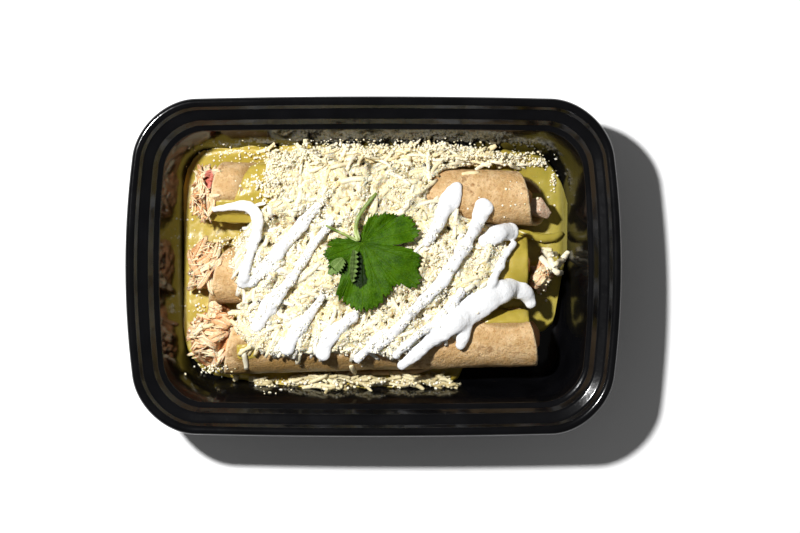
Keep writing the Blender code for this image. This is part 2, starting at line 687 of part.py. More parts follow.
def make_sprig(below):
    """The coriander sprig: a thin wavy blade, a curled leaflet on it, and two stems."""
    ground = Surroundings(below)
    crown = Vector(LEAF_CROWN) * MM
    top, bottom = [], []
    for i in range(LEAF_RAYS):
        angle = LEAF_OUTLINE[0][0] + 360.0 * i / LEAF_RAYS
        heading = Vector((math.cos(math.radians(angle)), math.sin(math.radians(angle))))
        heights = []
        for share in LEAF_SHARES:
            flat = crown + heading * (leaf_reach(angle) * share * MM)
            wave = 0.8 * share * (1.0 + math.sin(math.radians(5.0 * angle) + 2.0 * share))
            rest = ground.height(flat.x, flat.y, spread=2.0 * MM) + 1.5 * GAP
            heights.append(rest + (wave + 1.4 * (1.0 - share)) * MM)
        bottom.append([Vector((*(crown + heading * (leaf_reach(angle) * share * MM)), z))
                       for share, z in zip(LEAF_SHARES, heights)])
    for _ in range(2):
        arch(bottom)
    top = [[p + Vector((0.0, 0.0, LEAF_THICKNESS)) for p in row] for row in bottom]
    leaf = slab("coriander_sprig", top, bottom, disc=True)
    pieces = bundle("sprig")
    blade = Surroundings([leaf])
    for stem in (MAIN_STEM, SIDE_STEM):
        lay_stem(stem, ground, blade, pieces)
    path = [Vector((x, y, 0.0)) * MM for x, y, _ in CURLED_LEAFLET]
    for spot, lift in zip(path, (0.1, 1.6, 2.2, 1.0)):
        spot.z = blade.height(spot.x, spot.y) + lift * MM
    widths = [width * MM for _, _, width in CURLED_LEAFLET]
    strip("leaflet", path, widths, [1.3 * LEAF_THICKNESS] * 4, 4, pieces)
    fuse(leaf, pieces)
    return leaf


def arch(rows):
    """Lifts low places of the leaf towards their neighbours, so that it arches."""
    before = [[p.z for p in row] for row in rows]
    count = len(rows)
    centre = max(row[0] for row in before)
    for i in range(count):
        rows[i][0].z = centre
        for j in range(1, len(rows[i])):
            near = (before[i - 1][j] + before[(i + 1) % count][j] + before[i][j - 1]) / 3.0
            rows[i][j].z = max(before[i][j], near)


def lay_stem(points, ground, blade, collection):
    """A stem that leaves the crown of the leaf and comes down on the cheese."""
    path, sizes = [], []
    for k, (x, y, width) in enumerate(points):
        spot = Vector((x, y, width)) * MM
        rest = ground.height(spot.x, spot.y, spread=2.5 * MM) + 2.0 * GAP + 0.5 * spot.z
        if k == 0:
            rest = blade.height(spot.x, spot.y) - 0.1 * MM
        path.append(Vector((spot.x, spot.y, rest)))
        sizes.append(spot.z)
    path[1].z = max(path[1].z, 0.5 * (path[0].z + path[2].z))
    strip("stem", path, sizes, sizes, 6, collection)


def main():
    """Builds every node in the order in which it is laid in the tray."""
    for item in list(bpy.data.objects):
        bpy.data.objects.remove(item)
    tray = make_tray()
    tortillas = [make_tortilla(roll) for roll in ROLLS]
    sauce = make_sauce(tray, tortillas)
    rng = random.Random(7)
    fillings = [make_filling(roll, rng) for roll in ROLLS]
    below = [tray, sauce] + tortillas + fillings
    front = make_loose_cheese("cheese_front", (-8.5, -53.4), (44.0, 2.2), (6, 2), 10, 0.7, below, 5)
    right = make_loose_cheese("cheese_right", (82.8, 3.0), (3.0, 4.8), (2, 2), 4, 1.5, below, 9)
    topping = make_topping(below)
    sprig = make_sprig(below + [topping])
    for node in below + [front, right, topping, sprig]:
        node.data.materials.append(finish_for(node.name))
        node.data.shade_smooth()
        node.data.set_sharp_from_angle(angle=math.radians(40.0))


main()
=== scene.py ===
"""Three rolled chicken enchiladas in a black meal tray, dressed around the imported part.

The part's own frame: +Z up, +X along the tray, -Y the side of the roll whose flap lies open.
Sizes are in millimetres inside the classes and become metres when a mesh is placed.
"""

from __future__ import annotations

import logging
import math
import random
from dataclasses import dataclass, field
from enum import Enum
from typing import Callable, Sequence

import bmesh
import bpy
import numpy as np
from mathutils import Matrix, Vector, noise
from mathutils.bvhtree import BVHTree

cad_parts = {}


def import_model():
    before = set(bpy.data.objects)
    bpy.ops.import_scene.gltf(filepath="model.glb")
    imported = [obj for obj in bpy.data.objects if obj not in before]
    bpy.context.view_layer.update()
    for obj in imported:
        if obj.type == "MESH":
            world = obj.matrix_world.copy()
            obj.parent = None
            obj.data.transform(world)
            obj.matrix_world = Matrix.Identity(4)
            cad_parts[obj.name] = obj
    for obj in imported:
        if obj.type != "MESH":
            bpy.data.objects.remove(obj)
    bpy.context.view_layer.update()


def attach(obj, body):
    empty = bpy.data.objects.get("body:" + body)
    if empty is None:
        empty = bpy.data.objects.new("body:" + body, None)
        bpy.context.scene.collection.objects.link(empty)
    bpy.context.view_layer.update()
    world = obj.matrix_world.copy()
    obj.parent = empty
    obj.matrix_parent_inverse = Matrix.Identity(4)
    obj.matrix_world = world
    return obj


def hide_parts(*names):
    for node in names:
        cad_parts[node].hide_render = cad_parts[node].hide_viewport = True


LOG = logging.getLogger("enchiladas")
MM = 0.001
DOWN = Vector((0.0, 0.0, -1.0))
# A height in metres above all that lies in the tray.
ABOVE = 0.1
FLOOR_TOP = 0.8
Triple = tuple[float, float, float]
Colour = Triple
Place = Callable[[float, float], Vector]


class Slot(Enum):
    """Names of the material slots."""

    TRAY = "tray"
    SAUCE = "sauce"
    TORTILLA = "tortilla"
    CHICKEN = "chicken"
    CHEESE = "cheese"
    LEAF = "leaf"


# Shader maths.


class Wire:
    """A shader output that adds Math nodes when arithmetic is written on it."""

    def __init__(self, tree: bpy.types.NodeTree, socket: bpy.types.NodeSocket) -> None:
        """Wraps one output of a node tree."""
        self.tree = tree
        self.socket = socket

    def maths(self, operation: str, *values: Wire | float) -> Wire:
        """Adds one Math node.

        Args:
            operation: the node's operation.
            values: its inputs in order, wires or numbers.

        Returns:
            The node's result.
        """
        node = self.tree.nodes.new("ShaderNodeMath")
        node.operation = operation
        for slot, value in zip(node.inputs, values):
            if isinstance(value, Wire):
                self.tree.links.new(value.socket, slot)
            else:
                slot.default_value = value
        return Wire(self.tree, node.outputs[0])

    def __add__(self, other: Wire | float) -> Wire:
        """self + other."""
        return self.maths("ADD", self, other)

    def __radd__(self, other: float) -> Wire:
        """other + self."""
        return self.maths("ADD", other, self)

    def __sub__(self, other: Wire | float) -> Wire:
        """self - other."""
        return self.maths("SUBTRACT", self, other)

    def __rsub__(self, other: float) -> Wire:
        """other - self."""
        return self.maths("SUBTRACT", other, self)

    def __mul__(self, other: Wire | float) -> Wire:
        """self * other."""
        return self.maths("MULTIPLY", self, other)

    def __rmul__(self, other: float) -> Wire:
        """other * self."""
        return self.maths("MULTIPLY", other, self)

    def step(self, low: float, high: float) -> Wire:
        """A smooth step from 0 at low to 1 at high.

        Args:
            low: value that gives 0.
            high: value that gives 1.

        Returns:
            The stepped value.
        """
        node = self.tree.nodes.new("ShaderNodeMapRange")
        node.interpolation_type = "SMOOTHSTEP"
        self.tree.links.new(self.socket, node.inputs["Value"])
        node.inputs["From Min"].default_value = low
        node.inputs["From Max"].default_value = high
        return Wire(self.tree, node.outputs["Result"])


class Finish:
    """A material built round one Principled shader."""

    def __init__(self, name: str, roughness: float, **constants: float | Colour) -> None:
        """Starts a material.

        Args:
            name: the material's name.
            roughness: its plain roughness.
            constants: other shader inputs, with _ for the spaces in their names.
        """
        self.material = bpy.data.materials.new(name)
        self.material.use_nodes = True
        self.tree = self.material.node_tree
        self.shader = self.tree.nodes["Principled BSDF"]
        self.shader.inputs["Roughness"].default_value = roughness
        for label, value in constants.items():
            self.shader.inputs[label.replace("_", " ")].default_value = value
        self.place = Wire(self.tree, self.tree.nodes.new("ShaderNodeTexCoord").outputs["Object"])

    def node(self, kind: str, settings: dict[str, object], inputs: dict[str, object]) -> bpy.types.Node:
        """Adds any node, its settings first.

        Args:
            kind: the node's type.
            settings: its properties.
            inputs: its sockets' values or wires.

        Returns:
            The node.
        """
        made = self.tree.nodes.new(kind)
        for label, value in settings.items():
            setattr(made, label, value)
        for label, value in inputs.items():
            socket = next(s for s in made.inputs if label in (s.identifier, s.name))
            if isinstance(value, Wire):
                self.tree.links.new(value.socket, socket)
            else:
                socket.default_value = value
        return made

    def noise(self, size: float, detail: float = 3.0, rough: float = 0.55,
              stretch: Triple = (1, 1, 1)) -> Wire:
        """Soft noise on the piece's own coordinates.

        Args:
            size: how wide its lumps are, in mm.
            detail: how many finer layers it has.
            rough: how strong those are.
            stretch: scale along each axis.

        Returns:
            The noise, about 0.5 on average.
        """
        turned = self.node("ShaderNodeMapping", {}, {"Vector": self.place, "Scale": stretch})
        inputs = {"Vector": Wire(self.tree, turned.outputs[0]), "Scale": 1.0 / (size * MM)}
        made = self.node("ShaderNodeTexNoise", {}, inputs | {"Detail": detail, "Roughness": rough})
        return Wire(self.tree, made.outputs[0])

    def cells(self, size: float) -> Wire:
        """Distance to the nearest of scattered points, size mm apart."""
        made = self.node("ShaderNodeTexVoronoi", {}, {"Vector": self.place, "Scale": 1.0 / (size * MM)})
        return Wire(self.tree, made.outputs["Distance"])

    def axis(self, name: str) -> Wire:
        """One coordinate of the surface, X, Y or Z, in mm."""
        parts = self.node("ShaderNodeSeparateXYZ", {}, {"Vector": self.place})
        return Wire(self.tree, parts.outputs[name]) * (1.0 / MM)

    def trait(self, name: str) -> Wire:
        """A value that the mesh carries at each vertex."""
        made = self.node("ShaderNodeAttribute", {"attribute_name": name}, {})
        return Wire(self.tree, made.outputs["Fac"])

    def mix(self, share: Wire | float, first: Wire | Colour, second: Wire | Colour) -> Wire:
        """Blends two colours.

        Args:
            share: how much of the second shows.
            first: colour at 0.
            second: colour at 1.

        Returns:
            The blended colour.
        """
        ends = {"A_Color": first, "B_Color": second}
        ends = {k: v if isinstance(v, Wire) else (*v, 1.0) for k, v in ends.items()}
        made = self.node("ShaderNodeMix", {"data_type": "RGBA"}, {"Factor_Float": share} | ends)
        return Wire(self.tree, next(o for o in made.outputs if o.identifier == "Result_Color"))

    def vary(self, label: str, wire: Wire) -> None:
        """Lets one shader input follow a wire."""
        self.tree.links.new(wire.socket, self.shader.inputs[label])

    def colour(self, wire: Wire) -> None:
        """Gives the surface its colour."""
        self.vary("Base Color", wire)

    def let_in(self, weight: float, radius: Colour, depth: float) -> None:
        """Lets light into the surface.

        Args:
            weight: how much of it enters.
            radius: how far red, green and blue go.
            depth: what 1 stands for there, in mm.
        """
        self.shader.inputs["Subsurface Weight"].default_value = weight
        self.shader.inputs["Subsurface Radius"].default_value = radius
        self.shader.inputs["Subsurface Scale"].default_value = depth * MM

    def relief(self, height: Wire, depth: float) -> None:
        """Bumps the surface.

        Args:
            height: relief from 0 to 1.
            depth: what 1 stands for, in mm.
        """
        made = self.node("ShaderNodeBump", {}, {"Height": height, "Distance": depth * MM, "Strength": 1.0})
        self.vary("Normal", Wire(self.tree, made.outputs["Normal"]))


def plastic_finish() -> Finish:
    """Glossy black moulded plastic with a faint flow texture and dust-fine scuffs."""
    made = Finish("black_plastic", 0.14, IOR=1.37)
    cloud = made.noise(14.0, 3.0)
    made.colour(made.mix(cloud.step(0.3, 0.7), (0.0016, 0.0016, 0.002), (0.003, 0.003, 0.0036)))
    made.vary("Roughness", 0.10 + cloud * 0.06 + made.noise(0.8, 2.0).step(0.55, 0.8) * 0.05)
    made.relief(made.noise(5.0, 2.0) * 0.8 + made.noise(0.5, 1.0) * 0.05, 0.10)
    return made


def salsa_finish() -> Finish:
    """Smooth green tomatillo sauce: olive-yellow, wet, with herb flecks and fine bubbles, and painted shade
    that darkens it towards the right wall.
    """
    made = Finish("green_sauce", 0.34, IOR=1.36, Coat_Weight=0.12, Coat_Roughness=0.2)
    made.let_in(0.25, (0.8, 0.6, 0.15), 1.6)
    base = made.mix(made.noise(9.0, 4.0).step(0.35, 0.68), (0.40, 0.30, 0.042), (0.475, 0.355, 0.064))
    # Painted shade: the sauce darkens towards the right, where the rolls shade it, and turns near black
    # against the right wall.
    base = made.mix(made.axis("X").step(55.0, 84.0) * 0.5, base, (0.27, 0.245, 0.032))
    base = made.mix(made.axis("X").step(84.0, 87.5) * 0.75, base, (0.10, 0.085, 0.014))
    fleck = 1.0 - made.cells(1.9).step(0.08, 0.16)
    rare = made.noise(4.0, 1.0).step(0.52, 0.62)
    base = made.mix(fleck * rare * 0.65, base, (0.20, 0.22, 0.03))
    pale = 1.0 - made.cells(1.3).step(0.06, 0.14)
    made.colour(made.mix(pale * made.noise(3.1, 1.0).step(0.5, 0.6) * 0.5, base, (0.72, 0.66, 0.36)))
    edge = made.axis("X").step(79.0, 84.5)
    made.vary("Roughness", 0.34 + edge * 0.4)
    made.vary("Coat Weight", 0.12 - edge * 0.12)
    made.relief(made.noise(3.2, 2.0, 0.4), 0.25)
    return made


def tortilla_finish() -> Finish:
    """Toasted corn tortilla: tan and pitted, browned in patches, pale along its cut rim, darker where it is
    wet and where shade is painted on its lower flank.
    """
    made = Finish("corn_tortilla", 0.62, IOR=1.4)
    made.let_in(0.12, (1.0, 0.5, 0.2), 1.0)
    broad, fine = made.noise(7.0, 4.0, 0.6), made.noise(1.5, 4.0, 0.65)
    base = made.mix(broad.step(0.40, 0.60), (0.56, 0.35, 0.15), (0.69, 0.475, 0.245))
    base = made.mix(fine.step(0.50, 0.68) * 0.75, base, (0.40, 0.205, 0.06))
    base = made.mix((1.0 - made.cells(1.1).step(0.10, 0.30)) * 0.35, base, (0.40, 0.22, 0.085))
    toast = (made.noise(3.2, 3.0, 0.6) * broad).step(0.30, 0.40)
    base = made.mix(toast * 0.65, base, (0.27, 0.125, 0.035))
    # Darker brown where the sheet is wet with sauce, and painted shade on its lower flank and where the
    # cheese above shades the front roll.
    base = made.mix(made.trait("wet_and_shade").step(0.1, 0.9) * 0.75, base, (0.26, 0.15, 0.04))
    made.colour(made.mix(made.trait("rim") * 0.85, base, (0.80, 0.62, 0.38)))
    made.vary("Roughness", 0.66 - made.trait("wet_and_shade") * 0.34 - fine.step(0.3, 0.5) * 0.04)
    made.relief(fine * 0.7 + made.noise(0.7, 3.0, 0.6) * 0.5 - broad * 0.3, 0.9)
    return made


def chicken_finish() -> Finish:
    """Shredded chicken stained by its stew: pale peach fibres with rusty patches; the mounds under them take
    the darkest tone as painted shade between the shreds.
    """
    made = Finish("shredded_chicken", 0.45, IOR=1.42)
    made.let_in(0.4, (1.2, 0.5, 0.3), 0.7)
    tone = made.trait("tone")
    base = made.mix(tone.step(0.15, 0.8), (0.72, 0.36, 0.15), (0.92, 0.70, 0.45))
    rust = (made.noise(3.0, 3.0, 0.6) + tone * -0.3).step(0.42, 0.62)
    base = made.mix(rust * 0.45, base, (0.50, 0.20, 0.075))
    across, along = made.axis("X") + 75.0, (made.axis("Y") - 40.0) * 0.5
    stain = (1.0 - (across * across + along * along) * 0.14).step(0.0, 0.6)
    made.colour(made.mix(stain * 0.8, base, (0.50, 0.045, 0.04)))
    made.relief(made.noise(0.5, 2.0, 0.6, (0.35, 1.0, 1.0)), 0.5)
    return made


def meat_finish() -> Finish:
    """The closed grain of a torn chunk: greyish pink with paler specks."""
    made = Finish("torn_chicken", 0.5, IOR=1.42)
    made.let_in(0.2, (1.0, 0.5, 0.35), 0.9)
    grain = made.noise(0.9, 4.0, 0.65)
    base = made.mix(grain.step(0.35, 0.65), (0.46, 0.29, 0.18), (0.72, 0.54, 0.38))
    made.colour(made.mix(made.noise(2.6, 2.0).step(0.45, 0.7) * 0.5, base, (0.52, 0.34, 0.23)))
    made.relief(grain + made.noise(2.0, 2.0) * 0.5, 0.5)
    return made


def soaked_finish() -> Finish:
    """The mass of the cheese: cream-coloured crumb whose hollows are golden brown, partly as sauce soaking
    through and partly as painted shade.
    """
    made = Finish("soaked_cheese", 0.5, IOR=1.4)
    made.let_in(0.8, (1.0, 0.8, 0.5), 2.0)
    lumps = made.noise(1.6, 4.0, 0.65)
    base = made.mix(lumps.step(0.36, 0.60), (0.74, 0.60, 0.30), (0.89, 0.81, 0.62))
    tint = made.noise(9.0, 3.0).step(0.55, 0.75)
    base = made.mix(tint * 0.5, base, (0.74, 0.62, 0.27))
    # The hollows of the crumb mass are painted golden brown: partly sauce soaking through, partly painted
    # shade.
    hollow = 1.0 - made.trait("rise").step(0.12, 0.50)
    made.colour(made.mix(hollow * 0.85, base, (0.50, 0.30, 0.06)))
    made.relief(made.noise(0.7, 4.0, 0.65), 0.55)
    return made


def cheese_finish(name: str, dark: Colour, light: Colour, depth: float) -> Finish:
    """Fresh cheese, from its shaded to its palest bits, white where cream has run over it.

    Args:
        name: the material's name.
        dark: colour of the yellowest bits.
        light: colour of the palest.
        depth: relief in mm.

    Returns:
        The finish.
    """
    made = Finish(name, 0.5, IOR=1.42)
    made.let_in(0.3, (1.0, 0.85, 0.55), 0.6)
    tone = made.trait("tone")
    base = made.mix((tone * 0.7 + made.noise(6.0, 2.0) * 0.5).step(0.2, 0.85), dark, light)
    made.colour(made.mix((tone - 1.0).step(0.0, 0.9), base, (0.86, 0.83, 0.75)))
    made.relief(made.noise(0.6, 3.0, 0.6), depth)
    return made


def cream_finish() -> Finish:
    """Thinned sour cream: a clean cool white, soft and slightly shiny."""
    made = Finish("crema", 0.32, IOR=1.38, Coat_Weight=0.15, Coat_Roughness=0.2)
    made.let_in(0.4, (1.0, 0.95, 0.9), 1.2)
    made.colour(made.mix(made.noise(5.0, 2.0), (0.76, 0.765, 0.77), (0.82, 0.82, 0.82)))
    made.relief(made.noise(1.4, 4.0, 0.6), 0.45)
    return made


def leaf_finish() -> Finish:
    """Coriander leaf: fresh green, paler veins, a soft waxy shine, and painted shadow near black in its
    folds.
    """
    made = Finish("coriander_leaf", 0.45, IOR=1.3, Specular_IOR_Level=0.22)
    made.let_in(0.15, (0.3, 1.0, 0.1), 0.6)
    base = made.mix(made.noise(6.0, 3.0).step(0.3, 0.7), (0.020, 0.062, 0.0), (0.050, 0.125, 0.001))
    base = made.mix(made.noise(0.8, 3.0).step(0.45, 0.75) * 0.5, base, (0.080, 0.18, 0.003))
    base = made.mix(made.trait("vein").step(0.1, 1.0) * 0.4, base, (0.11, 0.21, 0.008))
    # Painted shadow: the folds beside the curled leaflets turn near black.
    made.colour(made.mix(made.trait("hollow").step(0.2, 0.8) * 0.92, base, (0.003, 0.010, 0.0006)))
    made.relief(made.noise(0.9, 3.0, 0.6) - made.trait("vein") * 0.35, 0.35)
    return made


def underside_finish() -> Finish:
    """The matt, pale underside of a coriander leaflet."""
    made = Finish("coriander_underside", 0.6, IOR=1.38)
    base = made.mix(made.noise(3.0, 3.0).step(0.3, 0.7), (0.11, 0.19, 0.035), (0.19, 0.29, 0.075))
    made.colour(made.mix(made.trait("vein").step(0.3, 1.0) * 0.5, base, (0.32, 0.43, 0.15)))
    made.relief(made.noise(0.7, 3.0, 0.6) + made.trait("vein") * 0.5, 0.3)
    return made


def stem_finish() -> Finish:
    """Coriander stem: olive green, ridged along its length."""
    made = Finish("coriander_stem", 0.35, IOR=1.42)
    base = made.mix(made.noise(4.0, 3.0).step(0.3, 0.7), (0.13, 0.19, 0.03), (0.30, 0.37, 0.10))
    made.colour(made.mix(made.trait("tone").step(0.4, 1.0), base, (0.52, 0.60, 0.27)))
    made.relief(made.noise(0.5, 2.0, 0.5), 0.2)
    return made


def floor_finish() -> Finish:
    """Plain white paper."""
    made = Finish("white_floor", 0.9)
    made.colour(made.mix(made.noise(60.0, 1.0), (0.95, 0.95, 0.95), (0.97, 0.97, 0.97)))
    return made


# Mesh helpers.


def slab(columns: int, rows: int, lower: Place, upper: Place) -> bmesh.types.BMesh:
    """A closed solid between two mapped grids.

    Args:
        columns: faces along u.
        rows: faces along v.
        lower: place of the underside at (u, v).
        upper: place of the top at (u, v).

    Returns:
        The shape, whose vertices keep (u, v) in the layer "spot".
    """
    shape = bmesh.new()
    bmesh.ops.create_grid(shape, x_segments=columns, y_segments=rows, size=0.5)
    spot = shape.verts.layers.float_vector.new("spot")
    for vertex in shape.verts:
        vertex[spot] = vertex.co + Vector((0.5, 0.5, 0.0))
        vertex.co = lower(vertex[spot].x, vertex[spot].y)
    bmesh.ops.remove_doubles(shape, verts=shape.verts, dist=1e-3 * MM)
    grown = bmesh.ops.extrude_face_region(shape, geom=shape.faces[:], use_keep_orig=True)
    for item in grown["geom"]:
        if isinstance(item, bmesh.types.BMVert):
            item.co = upper(item[spot].x, item[spot].y)
    bmesh.ops.recalc_face_normals(shape, faces=shape.faces)
    return shape


def bar(rings: int, sides: int) -> bmesh.types.BMesh:
    """A round bar from z 0 to 1 with a radius of 1 and closed ends.

    Args:
        rings: how many rings of vertices it has.
        sides: vertices in a ring.

    Returns:
        The shape.
    """
    shape = bmesh.new()
    bmesh.ops.create_cone(shape, cap_ends=True, segments=sides, radius1=1.0, radius2=1.0, depth=1.0)
    bmesh.ops.translate(shape, verts=shape.verts, vec=(0.0, 0.0, 0.5))
    for k in range(1, rings - 1):
        everything = shape.verts[:] + shape.edges[:] + shape.faces[:]
        cut = (0.0, 0.0, k / (rings - 1))
        bmesh.ops.bisect_plane(shape, geom=everything, plane_co=cut, plane_no=(0.0, 0.0, 1.0))
    return shape


def blob(centre: Sequence[float], reach: Sequence[float], levels: int, rough: float,
         size: float) -> bmesh.types.BMesh:
    """An uneven rounded lump.

    Args:
        centre: its middle, in mm.
        reach: its half sizes, in mm.
        levels: how finely it is split.
        rough: depth of its unevenness, in mm.
        size: width of its bumps, in mm.

    Returns:
        The shape.
    """
    shape = bmesh.new()
    bmesh.ops.create_icosphere(shape, subdivisions=levels, radius=1.0)
    for vertex in shape.verts:
        out = vertex.co.copy()
        at = Vector(c + r * k for c, r, k in zip(centre, reach, out))
        swell = ripple(at.x, at.y, at.z, size) + 0.5 * ripple(at.x, at.y, at.z, 0.4 * size)
        vertex.co = (at + out * rough * swell) * MM
    return shape


def piece(name: str, shape: bmesh.types.BMesh, finish: Finish, slot: Slot, *nodes: str) -> bpy.types.Object:
    """Makes a finished piece of the object from a shape.

    Args:
        name: the piece's name.
        shape: its mesh, which is freed.
        finish: its material.
        slot: not used.
        nodes: CAD nodes that it stands for.

    Returns:
        The object, riding on the part's body.
    """
    mesh = bpy.data.meshes.new(name)
    shape.to_mesh(mesh)
    shape.free()
    return dressed(bpy.data.objects.new(name, mesh), finish, slot, *nodes)


def dressed(made: bpy.types.Object, finish: Finish, slot: Slot, *nodes: str) -> bpy.types.Object:
    """Links an object, gives it its finish and hides the CAD nodes that it stands for.

    Args:
        made: the object.
        finish: its material.
        slot: not used.
        nodes: CAD nodes that it stands for.

    Returns:
        The same object.
    """
    bpy.context.scene.collection.objects.link(made)
    made.data.materials.append(finish.material)
    made.data.shade_smooth()
    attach(made, "root")
    if nodes:
        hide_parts(*nodes)
    LOG.info("%s: %d faces", made.name, len(made.data.polygons))
    return made


def carry(made: bpy.types.Object, name: str, values: Sequence[float]) -> None:
    """Stores one value for each vertex of a piece.

    Args:
        made: the piece.
        name: the attribute's name.
        values: a number for each vertex.
    """
    layer = made.data.attributes.new(name, "FLOAT", "POINT")
    layer.data.foreach_set("value", np.asarray(values, np.float32))


def wander(x: float, y: float, length: float, heading: float, bend: float) -> tuple[np.ndarray, np.ndarray]:
    """Places along a curved strip.

    Args:
        x: its middle, in mm.
        y: its middle, in mm.
        length: its length.
        heading: its direction, in radians.
        bend: how far it turns from end to end.

    Returns:
        The x and the y of nine places.
    """
    steps = np.linspace(-0.5, 0.5, 9)
    turns = heading + bend * steps
    xs = np.cumsum(np.cos(turns)) * length / 9.0
    ys = np.cumsum(np.sin(turns)) * length / 9.0
    return xs + x - xs.mean(), ys + y - ys.mean()


def between(rows: Sequence[Sequence[float]], value: float, column: int) -> float:
    """Reads a column of a table between its rows.

    Args:
        rows: the table, sorted by its first column.
        value: where to read it.
        column: which column.

    Returns:
        The blended value.
    """
    return float(np.interp(value, [r[0] for r in rows], [r[column] for r in rows]))


def ripple(x: float, y: float, z: float, size: float) -> float:
    """Smooth noise from -1 to 1 whose lumps are size mm wide."""
    return noise.noise(Vector((x, y, z)) / size)


def ripples(x: float, y: float, *layers: Triple) -> float:
    """Adds up ripples at a place.

    Args:
        x: place in mm.
        y: place in mm.
        layers: each as (strength, z, size).

    Returns:
        Their sum.
    """
    total = 0.0
    for strength, z, size in layers:
        total += strength * ripple(x, y, z, size)
    return total


def unit(value: float) -> float:
    """The value, held between 0 and 1."""
    return min(1.0, max(0.0, value))


def rounded(near: float, width: float) -> float:
    """Rises from 0 at an edge to 1 at a distance of width, along a quarter circle."""
    return math.sqrt(1.0 - (1.0 - min(1.0, near / width)) ** 2)


def averaged(points: np.ndarray) -> np.ndarray:
    """The inner points of a path, each drawn towards its neighbours."""
    return (points[:-2] + 2.0 * points[1:-1] + points[2:]) / 4.0


class Swarm:
    """Copies of one small shape, each bent and placed, gathered into one mesh."""

    def __init__(self, shape: bmesh.types.BMesh, rng: random.Random) -> None:
        """Keeps the shape that is copied, and the dice that vary the copies."""
        shape.verts.ensure_lookup_table()
        self.model = np.array([vertex.co[:] for vertex in shape.verts])
        rings = [[vertex.index for vertex in face.verts] for face in shape.faces]
        self.faces = np.array([ring for ring in rings if len(ring) == 4]).reshape(-1, 4)
        self.ends = [ring for ring in rings if len(ring) != 4]
        shape.free()
        self.rng = rng
        self.dice = np.random.default_rng(rng.randrange(10**6))
        self.placed: list[np.ndarray] = []
        self.tones: list[float] = []

    def strip(self, path: np.ndarray, width: float, thick: float, tone: float, rough: float = 0.08,
              taper: float = 0.35, spin: float = 0.0) -> None:
        """Bends one copy of a bar along a path.

        Args:
            path: its points, in mm.
            width: its width, in mm.
            thick: its thickness, in mm.
            tone: a value for its colour, 0 to 1.
            rough: how uneven its surface is.
            taper: how much its ends narrow.
            spin: how far it turns about its length, in radians.
        """
        along = self.model[:, 2]
        steps = np.linspace(0.0, 1.0, len(path))
        slope = np.gradient(path, axis=0)
        centre = np.stack([np.interp(along, steps, path[:, k]) for k in range(3)], axis=1)
        ahead = np.stack([np.interp(along, steps, slope[:, k]) for k in range(3)], axis=1)
        ahead /= np.linalg.norm(ahead, axis=1)[:, None] + 1e-9
        across = np.cross(ahead, np.array([0.05, 0.03, 1.0]))
        across /= np.linalg.norm(across, axis=1)[:, None] + 1e-9
        up = np.cross(across, ahead)
        angle = spin * (along - 0.3)
        shrink = 1.0 - taper * np.abs(2.0 * along - 1.0) ** 4
        jitter = 1.0 + rough * self.dice.standard_normal((len(along), 2))
        a = self.model[:, 0] * 0.5 * width * shrink * jitter[:, 0]
        b = self.model[:, 1] * 0.5 * thick * shrink * jitter[:, 1]
        c, s = np.cos(angle), np.sin(angle)
        offset = across * (a * c - b * s)[:, None] + up * (a * s + b * c)[:, None]
        self.placed.append(centre + offset)
        self.tones.append(tone)

    def lump(self, centre: Sequence[float], radius: float, tone: float, rough: float = 0.25) -> None:
        """Places one uneven copy of a round shape.

        Args:
            centre: its middle, in mm.
            radius: its radius, in mm.
            tone: a value for its colour, 0 to 1.
            rough: how uneven it is.
        """
        turn = self.dice.standard_normal((3, 3))
        turn, _ = np.linalg.qr(turn)
        if np.linalg.det(turn) < 0.0:
            turn[:, 0] *= -1.0
        scale = self.dice.uniform(0.7, 1.25, 3)
        size = 1.0 + rough * self.dice.uniform(-1.0, 1.0, len(self.model))
        self.placed.append((self.model * size[:, None] * scale * radius) @ turn.T + np.asarray(centre))
        self.tones.append(tone)

    def gather(self, name: str, finish: Finish, slot: Slot, *nodes: str) -> bpy.types.Object:
        """Makes one piece of all copies.

        Args:
            name: the piece's name.
            finish: its material.
            slot: not used.
            nodes: CAD nodes that it stands for.

        Returns:
            The piece, with each copy's tone stored on it.
        """
        count = len(self.model)
        points = np.concatenate(self.placed) * MM
        faces: list[list[int]] = []
        for k in range(len(self.placed)):
            faces += (self.faces + k * count).tolist()
            faces += [[index + k * count for index in end] for end in self.ends]
        mesh = bpy.data.meshes.new(name)
        mesh.from_pydata(points.tolist(), [], faces)
        made = dressed(bpy.data.objects.new(name, mesh), finish, slot, *nodes)
        carry(made, "tone", np.repeat(self.tones, count))
        return made


